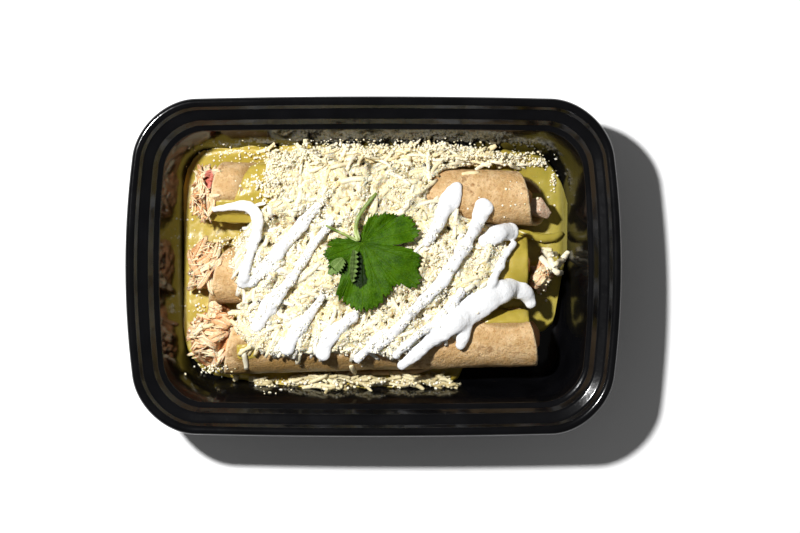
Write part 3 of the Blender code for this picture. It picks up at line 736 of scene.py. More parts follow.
@dataclass
class HeightMap:
    """Heights of what lies in the tray, on a square raster over its inside, in mm."""

    pitch: float = 0.5
    half_x: float = 104.0
    half_y: float = 70.0
    top: np.ndarray = field(init=False)

    def __post_init__(self) -> None:
        """Starts flat."""
        self.top = np.zeros((self.row(self.half_y) + 1, self.column(self.half_x) + 1))

    def column(self, x: float) -> int:
        """Raster column of an x."""
        return int(round((x + self.half_x) / self.pitch))

    def row(self, y: float) -> int:
        """Raster row of a y."""
        return int(round((y + self.half_y) / self.pitch))

    def take(self, made: bpy.types.Object) -> None:
        """Raises the map to the top of a piece."""
        mesh = made.data
        points = np.array([v.co[:] for v in mesh.vertices]) / MM
        tree = BVHTree.FromPolygons((points * MM).tolist(), [p.vertices[:] for p in mesh.polygons])
        low, high = points.min(axis=0), points.max(axis=0)
        rows = range(max(self.row(low[1]), 0), min(self.row(high[1]) + 1, self.top.shape[0]))
        columns = range(max(self.column(low[0]), 0), min(self.column(high[0]) + 1, self.top.shape[1]))
        for row in rows:
            y = (row * self.pitch - self.half_y) * MM
            for column in columns:
                x = (column * self.pitch - self.half_x) * MM
                hit = tree.ray_cast(Vector((x, y, ABOVE)), DOWN)[0]
                if hit is not None and hit.z > self.top[row, column] * MM:
                    self.top[row, column] = hit.z / MM

    def at(self, x: np.ndarray | float, y: np.ndarray | float,
           field_of: np.ndarray | None = None) -> np.ndarray:
        """Reads heights.

        Args:
            x: places in mm.
            y: places in mm.
            field_of: another raster of the same size to read.

        Returns:
            The heights, in mm.
        """
        source = self.top if field_of is None else field_of
        columns = np.rint((np.asarray(x) + self.half_x) / self.pitch).astype(int)
        rows = np.rint((np.asarray(y) + self.half_y) / self.pitch).astype(int)
        return source[np.clip(rows, 0, source.shape[0] - 1), np.clip(columns, 0, source.shape[1] - 1)]

    def rest(self, xs: np.ndarray, ys: np.ndarray, thick: float, droop: float) -> np.ndarray:
        """Heights of a limp strip that is laid over the map.

        Args:
            xs: places along it, in mm.
            ys: places along it, in mm.
            thick: its thickness.
            droop: how far each end may hang below its neighbour.

        Returns:
            The heights, in mm.
        """
        least = np.maximum(self.at(xs, ys), self.at(xs + 0.5, ys + 0.5) - 0.4) + 0.2 * thick
        heights = least + 0.15 * thick
        for _ in range(8):
            heights[1:-1] = np.maximum(least[1:-1], (heights[:-2] + heights[2:]) / 2.0 - 0.05)
            heights[0] = max(least[0], heights[1] - droop)
            heights[-1] = max(least[-1], heights[-2] - droop)
        return heights

    def stamp(self, x: float, y: float, radius: float, height: float) -> None:
        """Raises a small round patch to a height."""
        reach = int(radius / self.pitch + 0.5)
        row, column = self.row(y), self.column(x)
        patch = self.top[max(row - reach, 0) : row + reach + 1, max(column - reach, 0) : column + reach + 1]
        np.maximum(patch, height, out=patch)

    def cover(self, reach: float, soften: int) -> np.ndarray:
        """A smooth skin that lies over everything.

        Args:
            reach: how far a high spot holds the skin up, in mm.
            soften: how many times it is smoothed.

        Returns:
            The skin's heights, as a raster.
        """
        skin = self.top.copy()
        for axis in (0, 1):
            for _ in range(int(reach / self.pitch)):
                skin = np.maximum(skin, np.maximum(np.roll(skin, 1, axis), np.roll(skin, -1, axis)))
        return self.blur(skin, soften)

    @staticmethod
    def blur(skin: np.ndarray, times: int) -> np.ndarray:
        """Smooths a raster by averaging neighbours a number of times."""
        for _ in range(times):
            for axis in (0, 1):
                skin = (skin * 2.0 + np.roll(skin, 1, axis) + np.roll(skin, -1, axis)) / 4.0
        return skin


# The tray.


@dataclass
class Tray:
    """The thin black tray, with its rolled rim, lid seat and rounded floor."""

    length: float = 222.2
    width: float = 152.4
    height: float = 45.0
    corner: float = 26.0
    corner_share: float = 0.6
    short_bow: float = 405.0
    long_bow: float = 3600.0
    corner_steps: int = 26
    side_steps: int = 14
    round_over: float = 0.9
    # Each point is (inset from the outer edge, depth below the rim).
    profile: tuple[tuple[float, float], ...] = (
        (26.4, 45.0), (23.3, 43.4), (21.6, 38.9), (13.8, 10.5), (11.6, 9.6), (9.2, 5.4),
        (5.0, 4.4), (3.3, 1.4), (2.1, 0.9), (0.9, 2.0), (0.8, 6.0), (0.0, 6.0),
        (0.0, 1.6), (0.7, 0.4), (2.0, 0.0), (3.7, 0.5), (5.6, 3.6), (9.6, 4.6),
        (12.2, 8.8), (14.4, 9.6), (22.4, 38.5), (24.0, 42.6), (27.0, 44.2),
    )

    def softened(self) -> list[tuple[float, float]]:
        """The profile with each corner rounded over by a short curve."""
        made = [self.profile[0]]
        for before, here, after in zip(self.profile, self.profile[1:], self.profile[2:]):
            cut = []
            for other in (before, after):
                gap = math.dist(here, other)
                share = min(self.round_over, 0.42 * gap) / gap
                cut.append((here[0] + share * (other[0] - here[0]), here[1] + share * (other[1] - here[1])))
            for t in (0.0, 0.33, 0.67, 1.0):
                weights = ((1 - t) ** 2, 2 * t * (1 - t), t * t)
                pulls = tuple(zip(weights, (cut[0], here, cut[1])))
                made.append(tuple(sum(weight * pull[i] for weight, pull in pulls) for i in (0, 1)))
        return made + [self.profile[-1]]

    def outline(self) -> list[tuple[int, float, float]]:
        """Spots round the rim, as (corner, turn in degrees, share of the side after it)."""
        spots = []
        for quarter in range(4):
            for step in range(self.corner_steps + 1):
                spots.append((quarter, 90.0 * (quarter + step / self.corner_steps), 0.0))
            for step in range(1, self.side_steps):
                spots.append((quarter, 90.0 * (quarter + 1), step / self.side_steps))
        return spots

    def point(self, spot: tuple[int, float, float], inset: float, depth: float) -> Vector:
        """Place on the tray.

        Args:
            spot: one spot of the outline.
            inset: distance in from the outer edge.
            depth: distance below the rim.

        Returns:
            The place, in metres.
        """
        signs = ((1, 1), (-1, 1), (-1, -1), (1, -1))
        quarter, turn, share = spot
        half = (self.length / 2.0 - inset, self.width / 2.0 - inset)
        radius = max(self.corner - self.corner_share * inset, 4.0)
        ends = [[signs[q % 4][i] * (half[i] - radius) for i in (0, 1)] for q in (quarter, quarter + 1)]
        angle = math.radians(turn)
        x = ends[0][0] + share * (ends[1][0] - ends[0][0]) + radius * math.cos(angle)
        y = ends[0][1] + share * (ends[1][1] - ends[0][1]) + radius * math.sin(angle)
        bowed_x = x * (1.0 - y * y / (self.length * self.short_bow))
        bowed_y = y * (1.0 - x * x / (self.width * self.long_bow))
        return Vector((bowed_x, bowed_y, self.height - depth)) * MM

    def build(self, finish: Finish) -> bpy.types.Object:
        """Makes the tray.

        Args:
            finish: its plastic.

        Returns:
            The piece.
        """
        spots, profile = self.outline(), self.softened()
        columns, rows = len(spots), len(profile) - 1
        shape = bmesh.new()
        bmesh.ops.create_grid(shape, x_segments=columns, y_segments=rows, size=0.5)
        for vertex in shape.verts:
            spot = spots[round((vertex.co.x + 0.5) * columns) % columns]
            vertex.co = self.point(spot, *profile[round((vertex.co.y + 0.5) * rows)])
        bmesh.ops.remove_doubles(shape, verts=shape.verts, dist=1e-3 * MM)
        loose = [edge for edge in shape.edges if edge.is_boundary]
        caps = bmesh.ops.holes_fill(shape, edges=loose, sides=0)["faces"]
        for cap, lift in zip(sorted(caps, key=lambda face: face.calc_center_median().z), (0.25, 0.0)):
            bmesh.ops.inset_region(shape, faces=[cap], thickness=5.0 * MM, depth=0.0)
            bmesh.ops.inset_region(shape, faces=[cap], thickness=1.0 * MM, depth=-lift * MM)
        bmesh.ops.recalc_face_normals(shape, faces=shape.faces)
        return piece("meal_tray", shape, finish, Slot.TRAY, "tray")


# The rolls.


@dataclass(frozen=True)
class Coat:
    """A patch of sauce on a roll, or a patch of painted shade on it: its middle, half length, half turn,
    thickness and how far it slants.
    """

    x: float
    angle: float
    reach: float
    turn: float
    thick: float = 0.7
    lean: float = 0.0


@dataclass(frozen=True)
class Roll:
    """One enchilada: where it lies and how its round sheet is rolled up."""

    name: str
    x: float
    y: float
    slant: float
    sheet: float
    first_turn: float
    seam: float
    flap_lift: float
    lip_reach: float
    coats: tuple[Coat, ...] = ()
    # Patches of painted shade: they only darken the sheet, and no sauce is built for them.
    shade_patches: tuple[Coat, ...] = ()
    thickness: float = 1.8
    pitch: float = 2.3
    share: float = 0.98
    widen: float = 1.04
    flatten: float = 0.94
    wave: float = 0.3
    film: float = 1.0
    flap_start: float = 1.2
    gap: float = 0.4

    def angle_at(self, arc: float) -> float:
        """Spiral angle at a distance along the sheet from its middle."""
        run = arc + self.sheet * self.share
        grown = math.sqrt(self.first_turn**2 + self.pitch * max(run, 0.0) / math.pi)
        return (grown - self.first_turn) * 2.0 * math.pi / self.pitch

    @property
    def turn(self) -> float:
        """Angle of the whole spiral, in radians."""
        return self.angle_at(self.sheet * self.share)

    @property
    def outer(self) -> float:
        """Outer radius before the roll is flattened."""
        return self.first_turn + self.pitch * self.turn / (2.0 * math.pi) + self.thickness / 2.0

    def axis(self, x: float) -> Vector:
        """Point on the roll's axis, in mm."""
        bed = FLOOR_TOP + 2.0 * self.gap + self.film
        return Vector((x, self.y + self.slant * (x - self.x), bed + self.flatten * (self.outer + self.wave)))

    def outward(self, angle: float) -> Vector:
        """Direction away from the axis at an angle, flattened as the roll is."""
        return Vector((0.0, -self.widen * math.cos(angle), self.flatten * math.sin(angle)))

    def radius_at(self, theta: float) -> float:
        """Distance of the sheet from the axis at a spiral angle, more where its flap stands off."""
        free = max(0.0, 1.0 - (self.turn - theta) / self.flap_start) ** 1.5
        return self.first_turn + self.pitch * theta / (2.0 * math.pi) + self.flap_lift * free

    def around(self, x: float, angle: float, radius: float) -> Vector:
        """Point at an angle round the axis.

        Args:
            x: place along the roll, in mm.
            angle: 0 at the front, a quarter turn at the top.
            radius: distance from the axis, in mm.

        Returns:
            The place, in mm.
        """
        place = Vector((x / 16.0, 1.4 * math.cos(angle), 1.4 * math.sin(angle) + self.y))
        out = radius + self.wave * noise.noise(place)
        spot = Vector((x / 5.0, 3.2 * math.cos(angle), 3.2 * math.sin(angle) - self.y))
        out += 0.22 * noise.noise(spot) + 0.10 * noise.noise(spot * 2.7)
        return self.axis(x) + self.outward(angle) * out

    def sheet_point(self, arc: float, along: float, side: float) -> Vector:
        """Point of the rolled sheet, in mm.

        Args:
            arc: distance across the sheet from its middle.
            along: -1 to 1 along the roll.
            side: -1 inside to 1 outside.

        Returns:
            The place.
        """
        lip = self.lip_reach * math.exp(-(((arc + 22.0) / 13.0) ** 2)) * max(along, 0.0) ** 3
        reach = math.sqrt(max(self.sheet**2 - arc**2, 0.0))
        edge = 0.35 * noise.noise(Vector((arc / 4.0, along, self.y)))
        x = self.x + along * (reach + edge) + lip
        theta = self.angle_at(arc)
        radius = self.radius_at(theta) + 0.15 * lip
        near = min((1.0 - abs(along)) * reach, self.sheet * self.share - abs(arc))
        full = 0.45 + 0.55 * rounded(near, 0.9)
        angle = math.radians(self.seam) + theta - self.turn
        return self.around(x, angle, radius + side * full * self.thickness / 2.0)

    def skin(self, x: float, angle: float, lift: float) -> Vector:
        """Point on the outermost turn.

        Args:
            x: place along the roll.
            angle: angle round the axis, in radians.
            lift: distance off the surface.

        Returns:
            The place, in mm.
        """
        theta = (angle - math.radians(self.seam)) % (2.0 * math.pi) - 2.0 * math.pi + self.turn
        return self.around(x, angle, self.radius_at(theta) + self.thickness / 2.0 + lift)

    @staticmethod
    def spread(share: float) -> float:
        """Place from -1 to 1 with finer steps near both ends."""
        return 0.6 * math.sin(math.pi * (share - 0.5)) + 0.4 * (2.0 * share - 1.0)

    def build(self, finish: Finish) -> bpy.types.Object:
        """Makes the rolled tortilla.

        Args:
            finish: its surface.

        Returns:
            The piece, with its rim, its wet places and its painted shade stored on it.
        """
        limit = self.sheet * self.share

        def arc(share: float) -> float:
            return limit * (0.75 * self.spread(share) + 0.25 * (2.0 * share - 1.0))

        def place(side: float) -> Place:
            return lambda u, v: self.sheet_point(arc(u), self.spread(v), side) * MM

        shape = slab(170, 100, place(-1.0), place(1.0))
        spot = shape.verts.layers.float_vector["spot"]
        rims, wet_and_shade_marks = [], []
        for vertex in shape.verts:
            u, v = vertex[spot].x, vertex[spot].y
            near = min((1.0 - abs(self.spread(v))) * 60.0, limit - abs(arc(u)))
            rims.append(max(0.0, 1.0 - near / 0.9))
            x, y, z = (value / MM for value in vertex.co)
            # Marked darker below 15 mm, where the sheet is wet from the sauce and where shade is painted on
            # its lower flank.
            wet_and_shade_marks.append(max(unit((15.0 - z) / 8.0), self.wet_and_shade_at(x, y, z)))
        made = piece("rolled_tortilla_" + self.name, shape, finish, Slot.TORTILLA, "tortilla_" + self.name)
        carry(made, "rim", rims)
        carry(made, "wet_and_shade", wet_and_shade_marks)
        return made

    def wet_and_shade_at(self, x: float, y: float, z: float) -> float:
        """How wet the sheet is near its coats of sauce, and how much shade is painted on it by its shade
        patches.

        Args:
            x: place in mm.
            y: place in mm.
            z: place in mm.

        Returns:
            0 to 1.
        """
        middle = self.axis(x)
        angle = math.degrees(math.atan2((z - middle.z) / self.flatten, -(y - middle.y) / self.widen))
        most = 0.0
        for coat in self.coats + self.shade_patches:
            away = math.hypot((x - coat.x) / (coat.reach + 3.0), (angle - coat.angle) / (coat.turn + 12.0))
            most = max(most, min(1.0, 2.5 * (1.15 - away)))
        return most

    def build_coats(self, finish: Finish) -> list[bpy.types.Object]:
        """Makes the sauce that clings to the outside of the roll.

        Args:
            finish: the sauce.

        Returns:
            One piece for each coat.
        """
        made = []
        for k, coat in enumerate(self.coats):

            def place(inner: bool, coat: Coat = coat) -> Place:
                def at(u: float, v: float) -> Vector:
                    a, b = 2.0 * u - 1.0, 2.0 * v - 1.0
                    x, angle = coat.x + coat.reach * a + coat.lean * b, coat.angle + coat.turn * b
                    rag = ripples(x, angle / 6.0, (0.32, self.y, 5.0), (0.16, 9.0, 1.8))
                    full = 1.0 - (abs(a) ** 3.5 + abs(b) ** 3.5) ** (1.0 / 3.5) + rag + 0.10
                    swell = coat.thick * max(-0.8, min(1.0, 4.0 * full))
                    swell += 0.25 * ripple(x, angle / 5.0, 4.0, 6.0)
                    return self.skin(x, math.radians(angle), -0.95 if inner else swell) * MM
                return at

            columns, rows = max(16, int(coat.reach * 2.2)), max(16, int(coat.turn * 0.55))
            shape = slab(columns, rows, place(True), place(False))
            made.append(piece(f"sauce_coat_{self.name}_{k}", shape, finish, Slot.SAUCE))
        return made


# The filling.


@dataclass(frozen=True)
class Heap:
    """Shredded chicken at a roll's end: its middle, half sizes, heading, counts and width of shreds."""

    centre: Triple
    reach: Triple
    heading: float
    broad: int
    fine: int
    width: float = 1.0


@dataclass
class Filling:
    """Shredded chicken inside the rolls and spilling from their ends."""

    heaps: tuple[Heap, ...] = (
        Heap((-78.0, 33.0, 10.5), (5.5, 11.5, 7.5), 1.35, 40, 40, 0.55),
        Heap((-77.5, 1.0, 11.0), (7.0, 11.0, 8.5), 0.6, 38, 44, 0.8),
        Heap((-73.5, -33.0, 11.5), (10.5, 11.0, 8.5), -0.1, 48, 50, 0.85),
        Heap((76.5, -4.5, 10.0), (3.5, 4.5, 6.0), 0.8, 9, 10),
        # The last mound lies where the middle roll's lower left flank is in shade; its dark tone is painted
        # shade there.
        Heap((-71.5, -20.5, 9.0), (5.0, 3.6, 5.0), 0.2, 5, 5),
    )
    # Corners of the torn chunks at the right ends of the back and the middle roll, in mm.
    chunks: tuple[tuple[Triple, ...], ...] = (
        ((70.5, 30.6, 18.5), (76.4, 31.8, 19.3), (75.6, 24.9, 20.6), (70.5, 25.0, 19.2), (81.4, 24.6, 17.2),
         (79.6, 21.8, 16.6), (70.5, 31.0, 11.0), (80.8, 25.6, 12.0), (78.0, 22.0, 11.0),
         (70.5, 24.0, 10.5)),
        ((72.0, 0.4, 17.0), (76.2, 0.0, 17.2), (77.6, -3.4, 16.0), (73.0, -4.6, 16.4), (72.0, 0.0, 11.0),
         (77.4, -3.0, 11.0), (73.0, -4.8, 10.5)),
        ((75.4, -4.2, 14.6), (79.6, -4.6, 15.0), (80.4, -7.4, 13.2), (76.0, -8.2, 13.0), (76.0, -5.0, 9.6),
         (79.8, -7.0, 9.4)),
    )
    # A shred that would climb more, lie higher or reach further to the left isn't laid.
    steepest: float = 10.0
    highest: float = 27.0
    leftmost: float = -86.0

    def core(self, roll: Roll, finish: Finish) -> bpy.types.Object:
        """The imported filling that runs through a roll.

        Args:
            roll: the roll.
            finish: the meat.

        Returns:
            The piece, which stands for the roll's filling.
        """
        radius = roll.first_turn - roll.thickness / 2.0 - roll.wave - roll.gap
        half = roll.sheet + 1.0
        shape = bar(60, 40)
        for vertex in shape.verts:
            along = 2.0 * vertex.co.z - 1.0
            turn = math.atan2(vertex.co.y, vertex.co.x)
            full = min(1.0, (1.0 - abs(along)) * 14.0 + 0.45)
            x = roll.x + along * half
            lumpy = 0.10 * ripple(x, 9.0 * math.cos(turn), 9.0 * math.sin(turn), 3.5)
            out = radius * full * (0.95 + lumpy)
            vertex.co = (roll.axis(x) + roll.outward(turn) * out) * MM
        bmesh.ops.recalc_face_normals(shape, faces=shape.faces)
        made = piece("filling_core_" + roll.name, shape, finish, Slot.CHICKEN, "filling_" + roll.name)
        carry(made, "tone", [0.2] * len(made.data.vertices))
        return made

    def build_heaps(self, finish: Finish, ground: HeightMap) -> list[bpy.types.Object]:
        """The heaps that spill onto the sauce, as mounds with torn shreds and fibres on them.

        Args:
            finish: the meat.
            ground: what lies below, which the heaps raise.

        Returns:
            The pieces.
        """
        made = []
        for k, heap in enumerate(self.heaps):
            shape = blob(heap.centre, heap.reach, 5, 1.1, 3.0)
            mound = piece(f"chicken_mound_{k}", shape, finish, Slot.CHICKEN)
            # The mounds take the darkest tone: painted shade between the shreds laid on them.
            carry(mound, "tone", [0.1] * len(mound.data.vertices))
            ground.take(mound)
            made.append(mound)
        rng = random.Random(11)
        swarm = Swarm(bar(10, 8), rng)
        for heap in self.heaps:
            for _ in range(heap.broad):
                length, width = rng.uniform(7.0, 17.0), heap.width * rng.uniform(2.2, 5.2)
                self.shred(swarm, ground, heap, length, width, rng)
            for _ in range(heap.fine):
                self.shred(swarm, ground, heap, rng.uniform(3.0, 9.0), rng.uniform(0.35, 1.0), rng)
        return made + [swarm.gather("chicken_shreds", finish, Slot.CHICKEN)]

    def shred(self, swarm: Swarm, ground: HeightMap, heap: Heap, length: float, width: float,
              rng: random.Random) -> None:
        """Lays one shred, with finer fibres along a broad one.

        Args:
            swarm: where it is gathered.
            ground: what lies below.
            heap: the heap that it belongs to.
            length: its length, in mm.
            width: its width.
            rng: the dice.
        """
        x = heap.centre[0] + rng.uniform(-0.85, 0.85) * heap.reach[0]
        y = heap.centre[1] + rng.uniform(-0.9, 0.9) * heap.reach[1]
        length *= min(1.0, 0.15 * heap.reach[1])
        xs, ys = wander(x, y, length, heap.heading + rng.gauss(0.0, 0.7), rng.uniform(-1.0, 1.0))
        thick = width * rng.uniform(0.4, 0.6)
        zs = ground.rest(xs, ys, thick, 1.0)
        if zs.max() - zs.min() > self.steepest or zs.max() > self.highest or xs.min() < self.leftmost:
            return
        for px, py, pz in zip(xs, ys, zs):
            ground.stamp(px, py, 0.4 * width, pz + 0.3 * thick)
        path = np.stack([xs, ys, zs], axis=1)
        tone = rng.uniform(0.3, 1.0)
        swarm.strip(path, width, thick, tone, 0.06, 0.6, rng.uniform(-0.7, 0.7))
        if width > 2.2:
            for side in (-0.3, 0.25):
                turn = heap.heading + 0.5 * math.pi
                drift = np.array([math.cos(turn) * side * width, math.sin(turn) * side * width, 0.42 * thick])
                fibre = path[rng.randrange(3) : 9 - rng.randrange(3)] + drift
                shade = min(1.0, tone + rng.uniform(-0.3, 0.3))
                swarm.strip(fibre, 0.28 * width, 0.3 * width, shade, 0.2, 0.8, 0.5)

    def build_chunks(self, finish: Finish) -> list[bpy.types.Object]:
        """Makes the torn chunks at the right ends.

        Args:
            finish: the meat.

        Returns:
            The pieces.
        """
        made = []
        for k, corners in enumerate(self.chunks):
            shape = bmesh.new()
            for corner in corners:
                shape.verts.new(Vector(corner) * MM)
            bmesh.ops.convex_hull(shape, input=shape.verts)
            edges = shape.edges[:]
            bmesh.ops.bevel(shape, geom=edges, offset=0.3 * MM, offset_type="OFFSET", segments=2, profile=0.5,
                            affect="EDGES", material=-1)
            bmesh.ops.triangulate(shape, faces=shape.faces)
            for _ in range(3):
                long = [edge for edge in shape.edges if edge.calc_length() > 0.9 * MM]
                bmesh.ops.subdivide_edges(shape, edges=long, cuts=1)
                bmesh.ops.triangulate(shape, faces=shape.faces)
            for vertex in shape.verts:
                p = vertex.co / MM
                turns = ((p.x, p.y, p.z), (p.y, p.z, p.x), (p.z, p.x, p.y))
                vertex.co += Vector([ripple(*turn, 1.6) for turn in turns]) * 0.22 * MM
            bmesh.ops.recalc_face_normals(shape, faces=shape.faces)
            made.append(piece(f"chicken_chunk_{k}", shape, finish, Slot.CHICKEN))
        return made


# The sauce.


@dataclass
class Sauce:
    """The pool of green sauce, which climbs both long walls."""

    level: float = 6.5
    back_rise: float = 9.0
    front_rise: float = 4.0
    # Outline, as rows of (x, lowest y, highest y).
    edge: tuple[Triple, ...] = (
        (-88.0, -28.0, 36.0), (-86.5, -38.0, 44.5), (-83.0, -44.0, 50.0), (-79.0, -47.5, 53.0),
        (-74.0, -50.5, 54.4), (-60.0, -53.0, 55.0), (-30.0, -55.5, 55.5), (0.0, -55.5, 55.5),
        (34.0, -54.5, 55.0), (39.0, -52.0, 54.5), (42.0, -45.0, 54.2), (46.0, -37.0, 54.0),
        (60.0, -33.0, 53.5), (73.0, -31.5, 52.6), (79.0, -30.0, 50.3), (83.0, -26.5, 46.0),
        (86.5, -6.0, 39.5), (89.0, 6.0, 29.0),
    )
    # Middles and half sizes of the thick sauce in a dip between two rolls, and of a soft bit at the left.
    lumps: tuple[tuple[Triple, Triple], ...] = (
        ((57.0, -16.5, 12.0), (14.0, 6.0, 8.5)),
        ((-76.8, -43.6, 8.6), (4.2, 4.4, 4.0)),
    )
    # The lip beside the back roll, as points in mm.
    lip: tuple[Triple, ...] = (
        (65.0, 17.5, 8.0), (69.0, 15.4, 9.0), (73.0, 13.9, 9.4), (78.0, 13.0, 9.2), (83.0, 13.4, 8.4),
        (87.0, 15.5, 7.2),
    )

    def height(self, x: float, y: float) -> float:
        """Top of the sauce at a place, in mm."""
        back = unit((y - 40.0) / 14.0)
        front = unit((-y - 49.0) / 6.0)
        middle = 1.0 - min(1.0, abs(x) / 95.0) ** 3
        lumps = ripples(x, y, (0.5, 0.0, 12.0), (0.35, 5.0, 4.0), (0.1, 2.0, 1.5))
        return self.level + (self.back_rise * back + self.front_rise * front) * middle + lumps

    def build(self, finish: Finish, ground: HeightMap) -> bpy.types.Object:
        """Makes the pool.

        Args:
            finish: the sauce.
            ground: heights of the tray alone.

        Returns:
            The piece.
        """
        low_x, high_x = self.edge[0][0], self.edge[-1][0]

        def spot(u: float, v: float) -> tuple[float, float]:
            x = low_x + (high_x - low_x) * u
            low, high = between(self.edge, x, 1), between(self.edge, x, 2)
            rag = 0.8 * ripple(x, v * 60.0, 1.0, 7.0) * (1.0 - min(1.0, 4.0 * min(v, 1.0 - v)))
            return x, low + (high - low) * v + rag

        def under(u: float, v: float) -> Vector:
            x, y = spot(u, v)
            return Vector((x, y, float(ground.at(x, y)) + 0.2)) * MM

        def top(u: float, v: float) -> Vector:
            x, y = spot(u, v)
            inside = min(u * (high_x - low_x), (1.0 - u) * (high_x - low_x), min(v, 1.0 - v) * 100.0)
            base = float(ground.at(x, y)) + 0.2
            deep = max(self.height(x, y) - base - 0.5, 0.1)
            return Vector((x, y, base + 0.5 + deep * rounded(inside, 3.0))) * MM

        return piece("green_sauce", slab(190, 120, under, top), finish, Slot.SAUCE, "salsa")

    def build_lumps(self, finish: Finish) -> list[bpy.types.Object]:
        """Makes the thick sauce between two rolls and at the left, and the lip by the back roll.

        Args:
            finish: the sauce.

        Returns:
            The pieces.
        """
        made = [piece(f"sauce_lump_{k}", blob(centre, reach, 5, 0.5, 4.0), finish, Slot.SAUCE)
                for k, (centre, reach) in enumerate(self.lumps)]
        lip = Swarm(bar(30, 16), random.Random(3))
        lip.strip(np.array(self.lip), 4.0, 3.4, 0.5, 0.03, 0.6, 0.2)
        return made + [lip.gather("sauce_lip", finish, Slot.SAUCE)]


# The cheese.


@dataclass(frozen=True)
class Patch:
    """A round patch of loose bits: middle, half sizes and how many."""

    x: float
    y: float
    reach_x: float
    reach_y: float
    count: int


@dataclass
class Cheese:
    """Grated cheese and crumbs over the rolls, along the walls and on the sauce."""

    ground: HeightMap
    creamed: Callable[[float, float], float]
    thickness: float = 2.4
    lowest: float = 21.0
    # Outline of the blanket, as rows of (y, lowest x, highest x).
    edge: tuple[Triple, ...] = (
        (-39.5, -46.0, 12.0), (-37.0, -56.0, 22.0), (-28.5, -63.0, 42.0), (-15.0, -60.5, 48.0),
        (3.0, -64.0, 60.0), (8.0, -63.0, 61.5), (16.5, -60.0, 57.0), (24.0, -52.0, 36.0),
        (30.0, -47.0, 24.0), (39.0, -48.0, 25.0), (44.0, -49.0, 31.0), (48.0, -49.0, 49.0),
        (51.0, -46.0, 55.0), (53.5, -38.0, 50.0), (56.0, -25.0, 36.0),
    )
    strewn: tuple[Patch, ...] = (
        Patch(-45.0, 51.0, 34.0, 4.5, 190), Patch(5.0, 55.0, 44.0, 2.4, 260),
        Patch(64.0, 50.0, 14.0, 3.0, 200), Patch(76.0, 47.5, 4.0, 1.8, 70),
        Patch(82.8, 40.5, 1.6, 4.0, 30), Patch(-47.0, 37.0, 10.0, 6.0, 260),
        Patch(-66.0, 10.0, 10.0, 5.0, 60),
        Patch(-80.0, -20.0, 5.0, 10.0, 36), Patch(-74.0, -47.5, 9.0, 3.0, 70),
        Patch(70.0, 30.0, 14.0, 14.0, 12),
        Patch(79.0, -8.0, 6.0, 14.0, 16), Patch(-84.0, 5.0, 3.0, 30.0, 16),
        Patch(-20.0, 57.5, 14.0, 1.2, 22),
        Patch(20.0, 57.5, 30.0, 1.2, 20), Patch(-46.0, -57.5, 12.0, 1.5, 10),
        Patch(56.0, 30.0, 16.0, 9.0, 8),
    )
    # How many strands and crumbs there are in the blanket, along the front wall and at the back.
    blanket_strands: int = 900
    front_strands: int = 210
    back_strands: int = 110
    coarse_crumbs: int = 420
    fine_crumbs: int = 3600
    front_crumbs: int = 110
    # Middles and half sizes of the clumps under the front strip.
    front_clumps: tuple[tuple[Triple, Triple], ...] = (
        ((-27.0, -51.8, 9.6), (13.0, 2.8, 2.8)),
        ((-4.0, -52.2, 9.6), (10.0, 2.2, 2.4)),
        ((20.0, -52.2, 9.4), (13.0, 2.4, 2.6)),
    )
    # Single strands of the right heap and elsewhere, as (x, y, length, heading, width).
    right_heap: tuple[tuple[float, ...], ...] = (
        (78.8, 0.8, 10.0, -0.98, 3.1), (79.4, 7.6, 6.0, -0.1, 2.8), (82.8, -1.8, 7.5, -0.6, 3.0),
        (82.6, 3.0, 13.0, -1.42, 3.0), (80.6, 3.6, 8.0, -1.2, 2.4), (86.8, 3.4, 10.0, 0.87, 3.3),
        (79.5, 5.5, 7.0, -0.6, 2.8), (81.5, 1.0, 8.0, -1.1, 3.0), (83.8, -2.5, 6.0, -0.4, 2.8),
        (84.6, 2.0, 6.5, 0.5, 2.6), (82.0, 5.5, 6.0, 0.2, 2.6),
    )
    strays: tuple[tuple[float, ...], ...] = (
        (-12.0, -48.0, 9.5, -1.4, 3.8), (-9.5, -47.0, 5.0, -1.1, 2.6), (-58.6, -42.0, 11.0, -1.35, 2.6),
        (-58.5, -38.0, 8.0, 0.6, 2.0), (-54.0, 27.0, 12.0, 0.5, 2.0), (-46.0, 33.0, 10.0, 0.2, 2.0),
        (-76.0, -27.0, 8.0, 0.2, 1.8), (-70.0, 12.0, 8.0, 0.1, 1.8), (-80.0, -30.0, 7.0, 0.9, 1.8),
        (44.0, 42.5, 9.0, 0.1, 2.0), (58.0, 47.5, 9.0, -0.2, 2.0), (64.5, 46.0, 7.0, -0.4, 2.0),
    )
    # Crumbs beyond these distances from the middle lie on a wall, so they are moved in a little.
    wall_x: float = 84.0
    wall_y: float = 53.5
    large_crumb: Triple = (-64.1, -51.6, 1.6)

    def inside(self, x: float, y: float, margin: float) -> bool:
        """Whether a place is under the blanket.

        Args:
            x: place in mm.
            y: place in mm.
            margin: how far inside its edge it must be.

        Returns:
            True if it is.
        """
        if not self.edge[0][0] + margin < y < self.edge[-1][0] - margin:
            return False
        wave = 2.2 * ripple(x, y, 7.0, 6.0)
        return between(self.edge, y, 1) + margin < x + wave < between(self.edge, y, 2) - margin

    def spot(self, u: float, v: float) -> tuple[float, float]:
        """Place in mm of (u, v) on the blanket, whose edge is ragged."""
        y = self.edge[0][0] + (self.edge[-1][0] - self.edge[0][0]) * v
        left, right = between(self.edge, y, 1), between(self.edge, y, 2)
        wave = 1.8 * ripple(u * 24.0, y, 18.0, 6.0) + 0.9 * ripple(u * 60.0, y, 1.0, 2.2)
        back = 5.0 * abs(ripple(u * 70.0, 5.0, 3.0, 6.0)) * v**12
        return left + (right - left) * u + wave, y + 0.6 * wave - back

